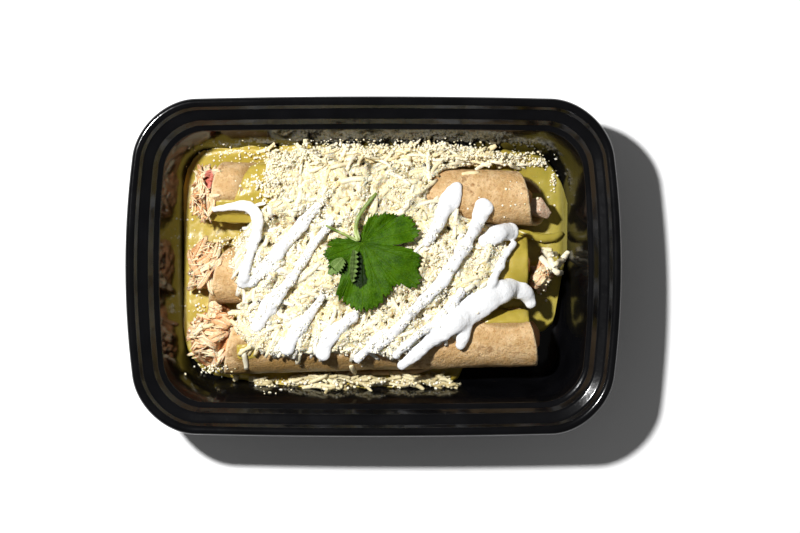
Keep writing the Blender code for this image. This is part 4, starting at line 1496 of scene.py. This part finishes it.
    @staticmethod
    def from_edge(u: float, v: float) -> float:
        """Distance in mm of (u, v) from the blanket's edge, roughly."""
        return min(min(u, 1.0 - u) * 100.0, min(v, 1.0 - v) * 92.0)

    def bed(self, finish: Finish) -> bpy.types.Object:
        """The bottom layer of the blanket.

        Args:
            finish: its surface.

        Returns:
            The piece, which stands for the blanket.
        """
        skin = self.ground.cover(1.5, 6)

        def rest(x: float, y: float) -> float:
            under = float(self.ground.at(x, y, skin))
            return under if y > 46.0 else max(under, self.lowest - 2.0)

        def under(u: float, v: float) -> Vector:
            x, y = self.spot(u, v)
            return Vector((x, y, rest(x, y) - 0.8)) * MM

        def top(u: float, v: float) -> Vector:
            x, y = self.spot(u, v)
            lumps = ripples(x, y, (0.9, 0.0, 6.0), (0.7, 3.0, 2.2), (0.35, 6.0, 1.0))
            deep = max(0.2, 0.75 * self.thickness + lumps)
            return Vector((x, y, rest(x, y) - 0.3 + deep * rounded(self.from_edge(u, v), 2.5))) * MM

        made = piece("cheese_bed", slab(110, 96, under, top), finish, Slot.CHEESE, "cheese_blanket")
        carry(made, "rise", [0.6] * len(made.data.vertices))
        return made

    def crumb(self, finish: Finish, skin: np.ndarray, floor: np.ndarray) -> bpy.types.Object:
        """The fine crumb that packs the gaps between the strands, with small hollows left open.

        Args:
            finish: its surface.
            skin: softened heights of the strands.
            floor: heights of the bottom layer.

        Returns:
            The piece.
        """

        def open_at(x: float, y: float) -> float:
            """1 in the crumb, 0 in a hollow."""
            return unit((ripples(x, y, (1.0, 12.0, 3.0), (0.7, 15.0, 1.5)) + 0.42) / 0.22)

        def top(u: float, v: float) -> Vector:
            x, y = self.spot(u, v)
            low = float(self.ground.at(x, y, floor))
            lumps = ripples(x, y, (0.45, 0.0, 2.4), (0.40, 6.0, 1.1), (0.20, 4.0, 0.6))
            high = float(self.ground.at(x, y, skin)) - 0.35 + lumps
            full = max(0.0, high - low + 0.4) * open_at(x, y) * min(1.0, self.from_edge(u, v) / 1.5)
            return Vector((x, y, low - 0.4 + full)) * MM

        def under(u: float, v: float) -> Vector:
            x, y = self.spot(u, v)
            return Vector((x, y, float(self.ground.at(x, y, floor)) - 1.2)) * MM

        shape = slab(240, 200, under, top)
        rise = [open_at(vertex.co.x / MM, vertex.co.y / MM) for vertex in shape.verts]
        made = piece("cheese_crumb_mass", shape, finish, Slot.CHEESE)
        carry(made, "rise", rise)
        return made

    def lay(self, swarm: Swarm, x: float, y: float, length: float, heading: float, rng: random.Random,
            width: float, steepest: float = 6.0) -> bool:
        """Lays one grated strand on whatever is there.

        Args:
            swarm: where it is gathered.
            x: its middle, in mm.
            y: its middle, in mm.
            length: its length.
            heading: its direction, in radians.
            rng: the dice.
            width: its width.
            steepest: most that it may climb.

        Returns:
            False if it would stand up.
        """
        xs, ys = wander(x, y, length, heading, rng.uniform(-1.1, 1.1))
        thick = width * rng.uniform(0.35, 0.5)
        zs = self.ground.rest(xs, ys, thick, 0.8)
        if zs.max() - zs.min() > steepest:
            return False
        for px, py, pz in zip(xs, ys, zs):
            self.ground.stamp(px, py, 0.45 * width, pz + 0.35 * thick)
        path = np.stack([xs, ys, zs], axis=1)
        tone = rng.uniform(0.0, 1.0) + self.creamed(x, y)
        swarm.strip(path, width, thick, tone, 0.10, 0.25, rng.uniform(-0.7, 0.7))
        return True

    def shreds(self, finish: Finish) -> bpy.types.Object:
        """The grated strands of the blanket.

        Args:
            finish: the cheese.

        Returns:
            One piece.
        """
        rng = random.Random(33)
        swarm = Swarm(bar(8, 6), rng)
        laid = 0
        while laid < self.blanket_strands:
            x, y = rng.uniform(-66.0, 64.0), rng.uniform(-40.0, 54.0)
            if not self.inside(x, y, 1.0):
                continue
            heading = rng.gauss(0.9, 0.9) if rng.random() < 0.6 else rng.uniform(0.0, math.pi)
            laid += self.lay(swarm, x, y, rng.uniform(6.0, 17.0), heading, rng, rng.uniform(1.6, 3.0))
        return swarm.gather("grated_cheese", finish, Slot.CHEESE)

    def front_masses(self, finish: Finish) -> list[bpy.types.Object]:
        """The clumped cheese below the front strip, which rests on the tray's wall.

        Args:
            finish: the darker cheese, soaked and with painted shade.

        Returns:
            The pieces.
        """
        made = []
        for k, (centre, reach) in enumerate(self.front_clumps):
            shape = blob(centre, reach, 5, 1.2, 2.6)
            for vertex in shape.verts:
                lowest = float(self.ground.at(vertex.co.x / MM, vertex.co.y / MM)) + 0.2
                vertex.co.z = max(vertex.co.z, lowest * MM)
            lump = piece(f"cheese_front_mass_{k}", shape, finish, Slot.CHEESE)
            carry(lump, "tone", [0.3] * len(lump.data.vertices))
            made.append(lump)
        for lump in made:
            self.ground.take(lump)
        return made

    def loose(self, finish: Finish, shaded: Finish) -> list[bpy.types.Object]:
        """The strands that lie apart: the front strip, the right heap, the back wall and stray ones.

        Args:
            finish: the cheese.
            shaded: the darker cheese along the front wall, soaked and with painted shade.

        Returns:
            The pieces.
        """
        lumps = self.front_masses(shaded)
        rng = random.Random(8)
        front, right, stray = (Swarm(bar(9, 6), rng) for _ in range(3))
        for _ in range(self.front_strands):
            share = rng.uniform(-1.0, 1.0)
            x = -8.5 + 45.0 * share
            clump = ripple(x, 3.0, 9.0, 9.0)
            if clump < -0.22:
                continue
            y = -53.0 + rng.uniform(-1.0, 1.0) * (2.2 + 2.4 * clump) * (1.0 - 0.4 * share * share)
            length, heading, width = rng.uniform(4.0, 12.0), rng.gauss(0.0, 0.45), rng.uniform(1.2, 2.1)
            self.lay(front, x, y, length, heading, rng, width, 4.5)
        for x, y, length, heading, width in self.right_heap:
            self.lay(right, x, y, length, heading, rng, width, 14.0)
        laid = 0
        while laid < self.back_strands:
            x, y = rng.uniform(-52.0, 72.0), rng.uniform(45.5, 54.5 if laid % 2 else 52.0)
            length, heading, width = rng.uniform(5.0, 13.0), rng.gauss(0.0, 0.6), rng.uniform(1.3, 2.2)
            laid += self.lay(stray, x, y, length, heading, rng, width)
        for x, y, length, heading, width in self.strays:
            self.lay(stray, x, y, length, heading, rng, width, 9.0)
        return [
            *lumps,
            front.gather("cheese_strip_front", shaded, Slot.CHEESE, "cheese_front"),
            right.gather("cheese_heap_right", finish, Slot.CHEESE, "cheese_right"),
            stray.gather("cheese_strands_loose", finish, Slot.CHEESE),
        ]

    def crumbs(self, finish: Finish, bare: Callable[[float, float], float],
               sunk: np.ndarray) -> list[bpy.types.Object]:
        """Fine crumbs: dense on the blanket, thin elsewhere.

        Args:
            finish: the crumbled cheese.
            bare: share of crumbs kept off a place, 0 to 1.
            sunk: places and widths of the cream in which crumbs have sunk.

        Returns:
            A fine and a coarse piece.
        """
        rng = random.Random(5)
        grains = [bmesh.new() for _ in range(2)]
        for grain in grains:
            bmesh.ops.create_icosphere(grain, subdivisions=1, radius=1.0)
        fine, coarse = (Swarm(grain, rng) for grain in grains)

        def drop(swarm: Swarm, x: float, y: float, radius: float) -> None:
            if abs(y) > self.wall_y:
                y -= math.copysign(0.6 * radius, y)
            if abs(x) > self.wall_x:
                x -= math.copysign(0.6 * radius, x)
            z = float(self.ground.at(x, y)) + (0.05 if radius < 1.0 else 0.9) * radius
            swarm.lump((x, y, z), radius, rng.random() + self.creamed(x, y))
            self.ground.stamp(x, y, 0.6 * radius, z + 0.5 * radius)

        for swarm, count, sizes in ((coarse, self.coarse_crumbs, (0.45, 0.8)),
                                    (fine, self.fine_crumbs, (0.22, 0.45))):
            laid = 0
            while laid < count:
                x, y = rng.uniform(-68.0, 64.0), rng.uniform(-41.0, 55.0)
                dense = 0.35 + 1.6 * ripple(x, y, 11.0, 8.0)
                if self.inside(x, y, -1.0) and rng.random() < dense and rng.random() > bare(x, y):
                    drop(swarm, x, y, rng.uniform(*sizes))
                    laid += 1
        for x, y, width in sunk:
            for _ in range(3):
                away_x, away_y = rng.gauss(0.0, 0.36) * width, rng.gauss(0.0, 0.36) * width
                drop(fine, x + away_x, y + away_y, rng.uniform(0.25, 0.6))
        for patch in self.strewn:
            for _ in range(patch.count):
                x, y = rng.gauss(patch.x, 0.5 * patch.reach_x), rng.gauss(patch.y, 0.5 * patch.reach_y)
                if rng.random() > bare(x, y) and abs(x) < 90.0 and abs(y) < 59.0:
                    drop(rng.choice((fine, fine, coarse)), x, y, rng.uniform(0.3, 0.75))
        for _ in range(self.front_crumbs):
            x = rng.uniform(-56.0, 36.0)
            drop(rng.choice((fine, coarse)), x, rng.gauss(-53.6, 1.3), rng.uniform(0.35, 0.9))
        drop(coarse, *self.large_crumb)
        return [fine.gather("cheese_crumbs_fine", finish, Slot.CHEESE),
                coarse.gather("cheese_crumbs_coarse", finish, Slot.CHEESE)]


# The cream.


@dataclass
class Cream:
    """Runs of cream drizzled over the cheese."""

    height: float = 2.8
    voxel: float = 0.45
    # Runs, as points of (x, y, width), each with how much of it crumbs stay off.
    runs: tuple[tuple[float, tuple[Triple, ...]], ...] = (
        (0.97, ((-72.5, 26.0, 3.0), (-66.0, 27.0, 4.0), (-57.5, 28.0, 5.5), (-52.5, 24.0, 6.5),
                (-52.5, 17.0, 5.5), (-54.5, 9.0, 4.5), (-57.5, 0.5, 4.5), (-59.0, -7.0, 6.0))),
        (0.5, ((-25.0, 27.5, 4.0), (-30.0, 22.5, 5.5), (-36.0, 15.0, 6.0), (-42.0, 8.0, 6.0),
               (-49.5, -1.5, 5.5), (-55.5, -7.5, 5.0))),
        (0.5, ((-19.5, 20.0, 3.5), (-26.5, 10.5, 4.0), (-31.5, 3.0, 4.0), (-36.0, -4.5, 4.5),
               (-42.0, -11.5, 5.0), (-48.5, -19.0, 7.5), (-52.5, -27.0, 6.0))),
        (0.6, ((-23.0, -13.5, 3.5), (-29.5, -22.5, 4.5), (-35.5, -30.0, 7.0), (-39.0, -37.0, 6.5))),
        (0.5, ((-9.5, -23.0, 5.0), (-16.0, -27.5, 5.5), (-21.5, -33.0, 7.0), (-23.0, -39.5, 6.5))),
        (0.6, ((5.0, -29.5, 4.0), (-1.5, -36.0, 4.0), (-7.0, -41.5, 4.5))),
        (0.7, ((37.5, 35.5, 7.0), (35.0, 30.5, 9.0), (31.5, 24.5, 7.0), (29.0, 18.5, 5.5),
               (24.0, 10.5, 4.0))),
        (0.6, ((50.0, 27.0, 8.0), (48.0, 21.5, 9.0), (44.5, 14.5, 5.5), (38.0, 4.0, 6.0),
                (30.0, -8.0, 6.0), (18.0, -20.0, 5.0), (8.5, -30.5, 5.0), (0.0, -37.5, 4.0))),
        (0.95, ((62.0, 16.0, 8.5), (57.0, 15.5, 9.5), (50.5, 11.5, 6.5))),
        (0.9, ((63.5, 10.5, 3.0), (58.0, 2.5, 4.0), (54.0, -6.5, 4.0), (51.0, -13.5, 4.0))),
        (0.98, ((71.5, -16.5, 5.0), (68.5, -10.5, 8.5), (61.5, -9.5, 10.5), (52.0, -14.5, 12.5),
                (42.5, -20.5, 12.5), (33.5, -27.0, 9.5), (25.5, -33.5, 7.0), (18.0, -40.5, 6.0),
                (12.5, -45.0, 4.0))),
        (0.98, ((42.0, -24.5, 8.0), (39.5, -35.0, 5.5))),
        (0.8, ((39.5, -11.5, 4.5), (34.5, -18.0, 4.0), (28.0, -25.0, 4.0), (18.5, -32.0, 3.5),
               (10.0, -40.0, 4.5))),
    )

    def samples(self, run: Sequence[Sequence[float]]) -> np.ndarray:
        """A run's points at every millimetre or so, with smoothed widths."""
        points = np.array(run)
        walked = np.concatenate([[0.0], np.cumsum(np.hypot(*np.diff(points[:, :2], axis=0).T))])
        steps = np.linspace(0.0, walked[-1], max(4, int(walked[-1] / 1.2)))
        dense = np.stack([np.interp(steps, walked, points[:, k]) for k in range(3)], axis=1)
        for _ in range(6):
            dense[1:-1] = averaged(dense)
        return dense

    def near(self) -> Callable[[float, float], float]:
        """Says how close to a run of cream a place lies, from 0 to 1."""
        table = np.concatenate([self.samples(run) for _, run in self.runs])

        def share_at(x: float, y: float) -> float:
            away = np.hypot(table[:, 0] - x, table[:, 1] - y) / (0.5 * table[:, 2] + 2.0)
            return float(np.clip(1.6 - away.min(), 0.0, 1.0))

        return share_at

    def bare(self) -> Callable[[float, float], float]:
        """Says how much of a place's crumbs the cream keeps off."""
        spots = []
        for keep, run in self.runs:
            dense = self.samples(run)
            share = np.linspace(0.0, 1.0, len(dense))
            for (x, y, width), along in zip(dense, share):
                spots.append((x, y, 0.5 * width, keep * (0.55 + 0.45 * along if keep < 0.9 else 1.0)))
        table = np.array(spots)

        def share_at(x: float, y: float) -> float:
            near = (table[:, 0] - x) ** 2 + (table[:, 1] - y) ** 2 < table[:, 2] ** 2
            return float(table[near, 3].max()) if near.any() else 0.0

        return share_at

    def crumbly(self) -> np.ndarray:
        """The samples of the thin runs, in which crumbs have sunk."""
        thin = np.concatenate([self.samples(run) for keep, run in self.runs if keep < 0.85])
        return thin[thin[:, 2] < 5.8]

    def build(self, finish: Finish, ground: HeightMap) -> bpy.types.Object:
        """Makes all runs as one flowing skin.

        Args:
            finish: the cream.
            ground: what they lie on, which they raise.

        Returns:
            The piece.
        """
        skin = np.maximum(ground.cover(0.5, 4), ground.cover(5.0, 10) - 2.6)
        rng = random.Random(2)
        beads = bmesh.new()
        bmesh.ops.create_icosphere(beads, subdivisions=2, radius=1.0)
        swarm = Swarm(beads, rng)
        for keep, run in self.runs:
            for x, y, width in self.samples(run):
                rough = 0.45 if keep > 0.9 else 1.0
                wobble = 1.0 + rough * ripples(x, y, (0.30, 2.0, 5.0), (0.18, 5.0, 1.8))
                half = 0.5 * width * wobble * (1.03 if keep > 0.9 else 1.08)
                high = min(0.36 * half + 0.5, 0.5 * self.height) * (1.0 + 0.15 * ripple(x, y, 8.0, 5.0))
                z = float(ground.at(x, y, skin)) + 0.35 * high
                size = np.array([half * 0.92, half * 0.92, high])
                for _ in range(3):
                    a, b = rng.uniform(-0.16, 0.16) * half, rng.uniform(-0.16, 0.16) * half
                    side = float(ground.at(x + a, y + b, skin)) + 0.3 * high
                    swarm.placed.append(swarm.model * size + np.array([x + a, y + b, 0.5 * (z + side)]))
                    swarm.tones.append(0.0)
        made = swarm.gather("cream_runs", finish, Slot.CHEESE)
        melt = made.modifiers.new("melt", "REMESH")
        melt.mode = "VOXEL"
        melt.voxel_size = self.voxel * MM
        bpy.context.view_layer.update()
        flowed = bpy.data.meshes.new_from_object(made.evaluated_get(bpy.context.evaluated_depsgraph_get()))
        shape = bmesh.new()
        shape.from_mesh(flowed)
        for _ in range(9):
            bmesh.ops.smooth_vert(shape, verts=shape.verts, factor=0.5, use_axis_x=True, use_axis_y=True,
                                  use_axis_z=True)
        shape.to_mesh(flowed)
        shape.free()
        made.modifiers.clear()
        made.data = flowed
        made.data.shade_smooth()
        made.data.materials.clear()
        made.data.materials.append(finish.material)
        LOG.info("cream_runs: %d faces", len(flowed.polygons))
        return made


# The herb.


@dataclass
class Coriander:
    """The sprig: a lobed toothed blade, curled leaflets on it, and two stems."""

    crown: tuple[float, float] = (-5.0, 10.5)
    thickness: float = 0.45
    teeth: int = 78
    # Outline round the crown, as (degrees, mm).
    outline: tuple[tuple[float, float], ...] = (
        (-283.0, 12.2), (-270.0, 6.0), (-255.0, 4.6), (-225.0, 4.6), (-198.0, 8.1), (-190.0, 12.8),
        (-180.0, 15.5), (-167.0, 17.5), (-146.0, 18.5), (-132.0, 17.0), (-123.0, 17.5), (-118.0, 25.0),
        (-112.0, 28.5), (-104.0, 28.2), (-89.0, 31.2), (-78.0, 29.6), (-63.5, 26.5), (-54.0, 24.0),
        (-49.5, 25.0), (-45.0, 29.0), (-38.0, 32.0), (-30.0, 30.2), (-20.0, 28.0), (-12.0, 26.5),
        (-7.0, 22.5), (-3.0, 15.0), (2.0, 22.5), (8.0, 25.8), (16.0, 26.6), (32.0, 23.4), (47.0, 18.6),
        (62.0, 15.2), (77.0, 12.2),
    )
    veins: tuple[float, ...] = (
        -262.0, -178.0, -158.0, -136.0, -112.0, -90.0, -68.0, -38.0, -18.0, 14.0, 38.0, 62.0,
    )
    stems: tuple[tuple[Triple, ...], ...] = (
        ((-6.5, 11.5, 1.8), (-8.2, 15.5, 1.8), (-7.8, 21.2, 1.6), (-4.0, 27.0, 1.4), (1.2, 33.0, 1.3)),
        ((-7.0, 11.6, 1.2), (-10.9, 13.5, 1.2), (-16.0, 15.8, 0.9), (-21.5, 18.5, 0.6)),
    )
    # Curled leaflets, as rows of (x, y, half width) with how high they stand.
    leaflets: tuple[tuple[float, tuple[Triple, ...]], ...] = (
        (4.6, ((-8.9, 7.4, 0.6), (-9.0, 4.0, 1.2), (-9.3, 0.0, 1.4), (-9.6, -3.6, 1.1), (-9.8, -7.2, 0.2))),
        (2.2, ((-13.6, 3.6, 0.8), (-15.2, 2.2, 2.1), (-16.9, 0.4, 2.6), (-18.4, -1.2, 2.0),
               (-20.6, -3.2, 0.3))),
    )

    def radius(self, angle: float) -> float:
        """Reach of the blade in a direction, with its teeth, in mm."""
        reach = between(self.outline, angle, 1)
        share = (angle * self.teeth / 360.0 + 0.35 * ripple(angle, 0.0, 4.0, 9.0)) % 1.0
        tooth = 1.0 - abs(2.0 * share - 1.0)
        lobe = abs(math.sin(math.radians(angle) * 8.5 + 0.6))
        size = 0.8 + 0.5 * ripple(angle, 3.0, 0.0, 5.0)
        return reach - 1.0 + 2.1 * tooth * size - 2.4 * (1.0 - lobe) ** 4

    def vein(self, angle: float, out: float) -> float:
        """How close a place is to a vein.

        Args:
            angle: direction from the crown, in degrees.
            out: distance from the crown, in mm.

        Returns:
            1 on a vein, 0 away from it.
        """
        nearest = min(self.veins, key=lambda a: abs(a - angle))
        turn = math.radians(angle - nearest)
        across, along = out * math.sin(turn), out * math.cos(turn)
        main = math.exp(-((across / 0.16) ** 2)) * 0.9
        branch = ((along - 1.5 * abs(across)) / 1.7) % 1.0
        side = math.exp(-(((branch - 0.5) / 0.1) ** 2)) * min(1.0, out / 8.0) * 0.4
        return max(main, side)

    @staticmethod
    def hollow(x: float, y: float) -> float:
        """How deep a place lies in the folds beside the leaflets, 0 to 1; it sinks the blade there and sets
        the folds' painted shadow.
        """
        share = (6.5 - y) / 16.5
        if not 0.0 < share < 1.0:
            return 0.0
        half = (1.6 + 2.7 * share + 0.35 * math.sin(3.0 * y)) * min(1.0, 6.0 * (1.0 - share))
        away = abs(x + 7.0 - 0.9 * share) / half
        side = math.exp(-(((x + 12.4) / 1.5) ** 2 + ((y + 0.5) / 3.5) ** 2))
        return max(unit(3.0 * (1.15 - away)), 0.8 * side)

    def build(self, finish: Finish, under: Finish, stem: Finish, ground: HeightMap) -> list[bpy.types.Object]:
        """Makes the sprig.

        Args:
            finish: the leaf.
            under: the pale underside of its curled leaflets.
            stem: the stems.
            ground: what it lies on.

        Returns:
            The blade, the leaflets and the stems.
        """
        skin = ground.cover(3.0, 40)
        start = self.outline[0][0]

        def place(lift: float) -> Place:
            def at(u: float, v: float) -> Vector:
                angle = start + 360.0 * u
                out = self.radius(angle) * v if v > 0.004 else 0.0
                turn = math.radians(angle)
                x, y = self.crown[0] + out * math.cos(turn), self.crown[1] + out * math.sin(turn)
                if v <= 0.004:
                    angle = turn = 0.0
                wave = 0.9 * v * math.sin(5.0 * turn + 2.0 * v) + 0.55 * v * math.sin(13.0 * turn + 3.0 * v)
                fold = 0.9 * self.hollow(x, y)
                puff = -0.22 * self.vein(angle, out) if out > 0.5 else 0.0
                wave *= min(1.0, out / 6.0)
                z = float(ground.at(x, y, skin)) + 1.0 + 0.9 * (1.0 - v) + wave - fold + puff
                return Vector((x, y, z + lift)) * MM
            return at

        shape = slab(720, 24, place(0.0), place(self.thickness))
        bmesh.ops.remove_doubles(shape, verts=shape.verts, dist=5e-3 * MM)
        spot = shape.verts.layers.float_vector["spot"]
        veins, hollows = [], []
        for vertex in shape.verts:
            angle = start + 360.0 * vertex[spot].x
            veins.append(self.vein(angle, self.radius(angle) * vertex[spot].y))
            hollows.append(self.hollow(vertex.co.x / MM, vertex.co.y / MM))
        blade = piece("coriander_blade", shape, finish, Slot.LEAF, "coriander_sprig")
        carry(blade, "vein", veins)
        # The fold depths are carried for the leaf's painted shadow.
        carry(blade, "hollow", hollows)
        ground.take(blade)
        return [blade, *self.build_leaflets(under, ground), self.build_stems(stem, ground)]

    def build_leaflets(self, finish: Finish, ground: HeightMap) -> list[bpy.types.Object]:
        """Makes the small leaflets that curl up from the blade.

        Args:
            finish: the leaf.
            ground: what they lie on.

        Returns:
            The pieces.
        """
        made = []
        for k, (stand, rows) in enumerate(self.leaflets):
            points = np.array(rows)
            steps = np.linspace(0.0, 1.0, len(points))

            def place(lift: float, points: np.ndarray = points, stand: float = stand) -> Place:
                def at(u: float, v: float) -> Vector:
                    x, y, half = (float(np.interp(v, steps, points[:, i])) for i in range(3))
                    ahead = points[-1, :2] - points[0, :2]
                    across = np.array([-ahead[1], ahead[0]]) / np.hypot(*ahead)
                    side = 2.0 * u - 1.0
                    half += 1.8 * (1.0 - abs(2.0 * ((v * 7.0) % 1.0) - 1.0)) * max(0.0, side - 0.6) * 2.0
                    px, py = x + across[0] * side * half, y + across[1] * side * half
                    base = float(ground.at(x, y))
                    rise = stand * math.sin(math.pi * min(1.0, 0.15 + 0.85 * v)) ** 0.7
                    rise *= 0.35 + 0.65 * (0.5 - 0.5 * side)
                    return Vector((px, py, base + 0.3 + rise + lift)) * MM
                return at

            shape = slab(26, 60, place(0.0), place(0.4))
            spot = shape.verts.layers.float_vector["spot"]
            veins = []
            for vertex in shape.verts:
                away = vertex[spot].x - 0.5
                branch = (vertex[spot].y * 9.0 - 2.5 * abs(away)) % 1.0
                main, side = math.exp(-((away / 0.07) ** 2)), 0.6 * math.exp(-(((branch - 0.5) / 0.12) ** 2))
                veins.append(0.35 + 0.65 * max(main, side))
            leaf = piece(f"coriander_leaflet_{k}", shape, finish, Slot.LEAF)
            carry(leaf, "vein", veins)
            made.append(leaf)
        return made

    def build_stems(self, finish: Finish, ground: HeightMap) -> bpy.types.Object:
        """Makes both stems.

        Args:
            finish: their surface.
            ground: what they lie on.

        Returns:
            One piece.
        """
        swarm = Swarm(bar(40, 14), random.Random(4))
        skin = ground.cover(0.5, 3)
        for rows in self.stems:
            points = np.array(rows)
            walked = np.linspace(0.0, 1.0, len(points))
            steps = np.linspace(0.0, 1.0, 40)
            flat = [np.interp(steps, walked, points[:, k]) for k in range(2)]
            path = np.stack([*flat, np.zeros_like(steps)], axis=1)
            for _ in range(30):
                path[1:-1, :2] = averaged(path[:, :2])
            width = float(points[:, 2].mean())
            under = ground.at(path[:, 0], path[:, 1], skin) + 0.4 * width
            path[:, 2] = under
            for _ in range(60):
                path[1:-1, 2] = np.maximum(under[1:-1], (path[:-2, 2] + path[2:, 2]) / 2.0)
            swarm.strip(path, width * 1.15, width, 0.25, 0.02, 0.2, 0.6)
            base = path[:14].copy()
            swarm.strip(base, width * 1.5, width * 0.9, 0.9, 0.02, 0.6, 0.3)
        return swarm.gather("coriander_stems", finish, Slot.LEAF)


# The studio.


@dataclass(frozen=True)
class Studio:
    """A white floor, one hard key light from the upper left, soft fill, and the camera."""

    camera_x: float = 11.9
    camera_height: float = 1145.0
    lens: float = 110.87
    key_place: Triple = (-356.0, 251.0, 823.0)
    key_power: float = 54.0
    key_radius: float = 32.0
    fill: float = 0.11

    @staticmethod
    def put(name: str, data: bpy.types.ID, place: Sequence[float]) -> bpy.types.Object:
        """Links a new object to the scene.

        Args:
            name: its name.
            data: its mesh, light or camera.
            place: where it is, in mm.

        Returns:
            The object.
        """
        made = bpy.data.objects.new(name, data)
        made.location = Vector(place) * MM
        bpy.context.scene.collection.objects.link(made)
        return made

    def build(self) -> None:
        """Sets the floor, the lights and the camera."""
        shape = bmesh.new()
        bmesh.ops.create_grid(shape, x_segments=2, y_segments=2, size=6.0)
        mesh = bpy.data.meshes.new("floor")
        shape.to_mesh(mesh)
        shape.free()
        mesh.materials.append(floor_finish().material)
        floor = self.put("floor", mesh, (0.0, 0.0, 0.0))
        key = bpy.data.lights.new("key", "POINT")
        key.energy = self.key_power
        key.shadow_soft_size = self.key_radius * MM
        self.put("key", key, self.key_place)
        world = bpy.data.worlds.new("studio")
        world.use_nodes = True
        sky = world.node_tree.nodes["Background"]
        sky.inputs["Color"].default_value = (1.0, 1.0, 1.0, 1.0)
        sky.inputs["Strength"].default_value = self.fill
        bpy.context.scene.world = world
        lens = bpy.data.cameras.new("camera")
        lens.lens = self.lens
        lens.sensor_width = 36.0
        camera = self.put("camera", lens, (self.camera_x, 0.0, self.camera_height))
        bpy.context.scene.camera = camera
        bpy.context.scene.view_settings.view_transform = "Standard"


ROLLS = {
    "1": Roll("1", -1.6, 32.9, -0.03, 73.0, 7.9, 20.0, 0.2, 12.0,
              (Coat(-43.0, 95.0, 18.0, 80.0, 0.7, 7.0), Coat(-64.0, 38.0, 11.0, 30.0, 0.6))),
    "2": Roll("2", -2.7, -2.2, 0.038, 73.0, 8.3, -30.0, 0.2, 0.0,
              (Coat(59.5, 95.0, 10.5, 66.0, 0.7), Coat(-52.0, 120.0, 10.0, 40.0, 0.6))),
    "3": Roll("3", 3.2, -34.4, 0.027, 71.5, 9.2, -25.0, 2.6, 0.0,
              (Coat(60.0, 139.0, 10.5, 17.0, 0.7), Coat(-57.0, 78.0, 5.0, 15.0, 0.5)),
              # Painted shade on the front roll's front flank, under the overhang of the cheese.
              (Coat(-28.0, 22.0, 42.0, 34.0),)),
}


def main() -> None:
    """Builds every piece in the order in which it lies in the tray."""
    logging.basicConfig(level=logging.INFO, format="%(message)s")
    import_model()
    sauce_coat, corn, chicken = salsa_finish(), tortilla_finish(), chicken_finish()
    curd = cheese_finish("crumbled_cheese", (0.80, 0.69, 0.42), (0.90, 0.84, 0.67), 0.2)
    grated = cheese_finish("grated_cheese", (0.80, 0.67, 0.38), (0.90, 0.82, 0.61), 0.2)
    shaded = cheese_finish("shaded_cheese", (0.46, 0.37, 0.17), (0.74, 0.66, 0.42), 0.3)
    ground = HeightMap()
    ground.take(Tray().build(plastic_finish()))
    sauce = Sauce()
    ground.take(sauce.build(sauce_coat, ground))
    for roll in ROLLS.values():
        ground.take(roll.build(corn))
    for roll in ROLLS.values():
        for coat in roll.build_coats(sauce_coat):
            ground.take(coat)
    for lump in sauce.build_lumps(sauce_coat):
        ground.take(lump)
    filling = Filling()
    for roll in ROLLS.values():
        filling.core(roll, chicken)
    for chunk in filling.build_chunks(meat_finish()):
        ground.take(chunk)
    filling.build_heaps(chicken, ground)
    cream = Cream()
    cheese, soaked = Cheese(ground, cream.near()), soaked_finish()
    ground.take(cheese.bed(soaked))
    floor = ground.top.copy()
    cheese.shreds(grated)
    ground.take(cheese.crumb(soaked, ground.cover(0.5, 3), floor))
    cheese.loose(grated, shaded)
    ground.take(cream.build(cream_finish(), ground))
    cheese.crumbs(curd, cream.bare(), cream.crumbly())
    Coriander().build(leaf_finish(), underside_finish(), stem_finish(), ground)
    Studio().build()
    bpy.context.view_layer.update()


if __name__ == "__main__":
    main()
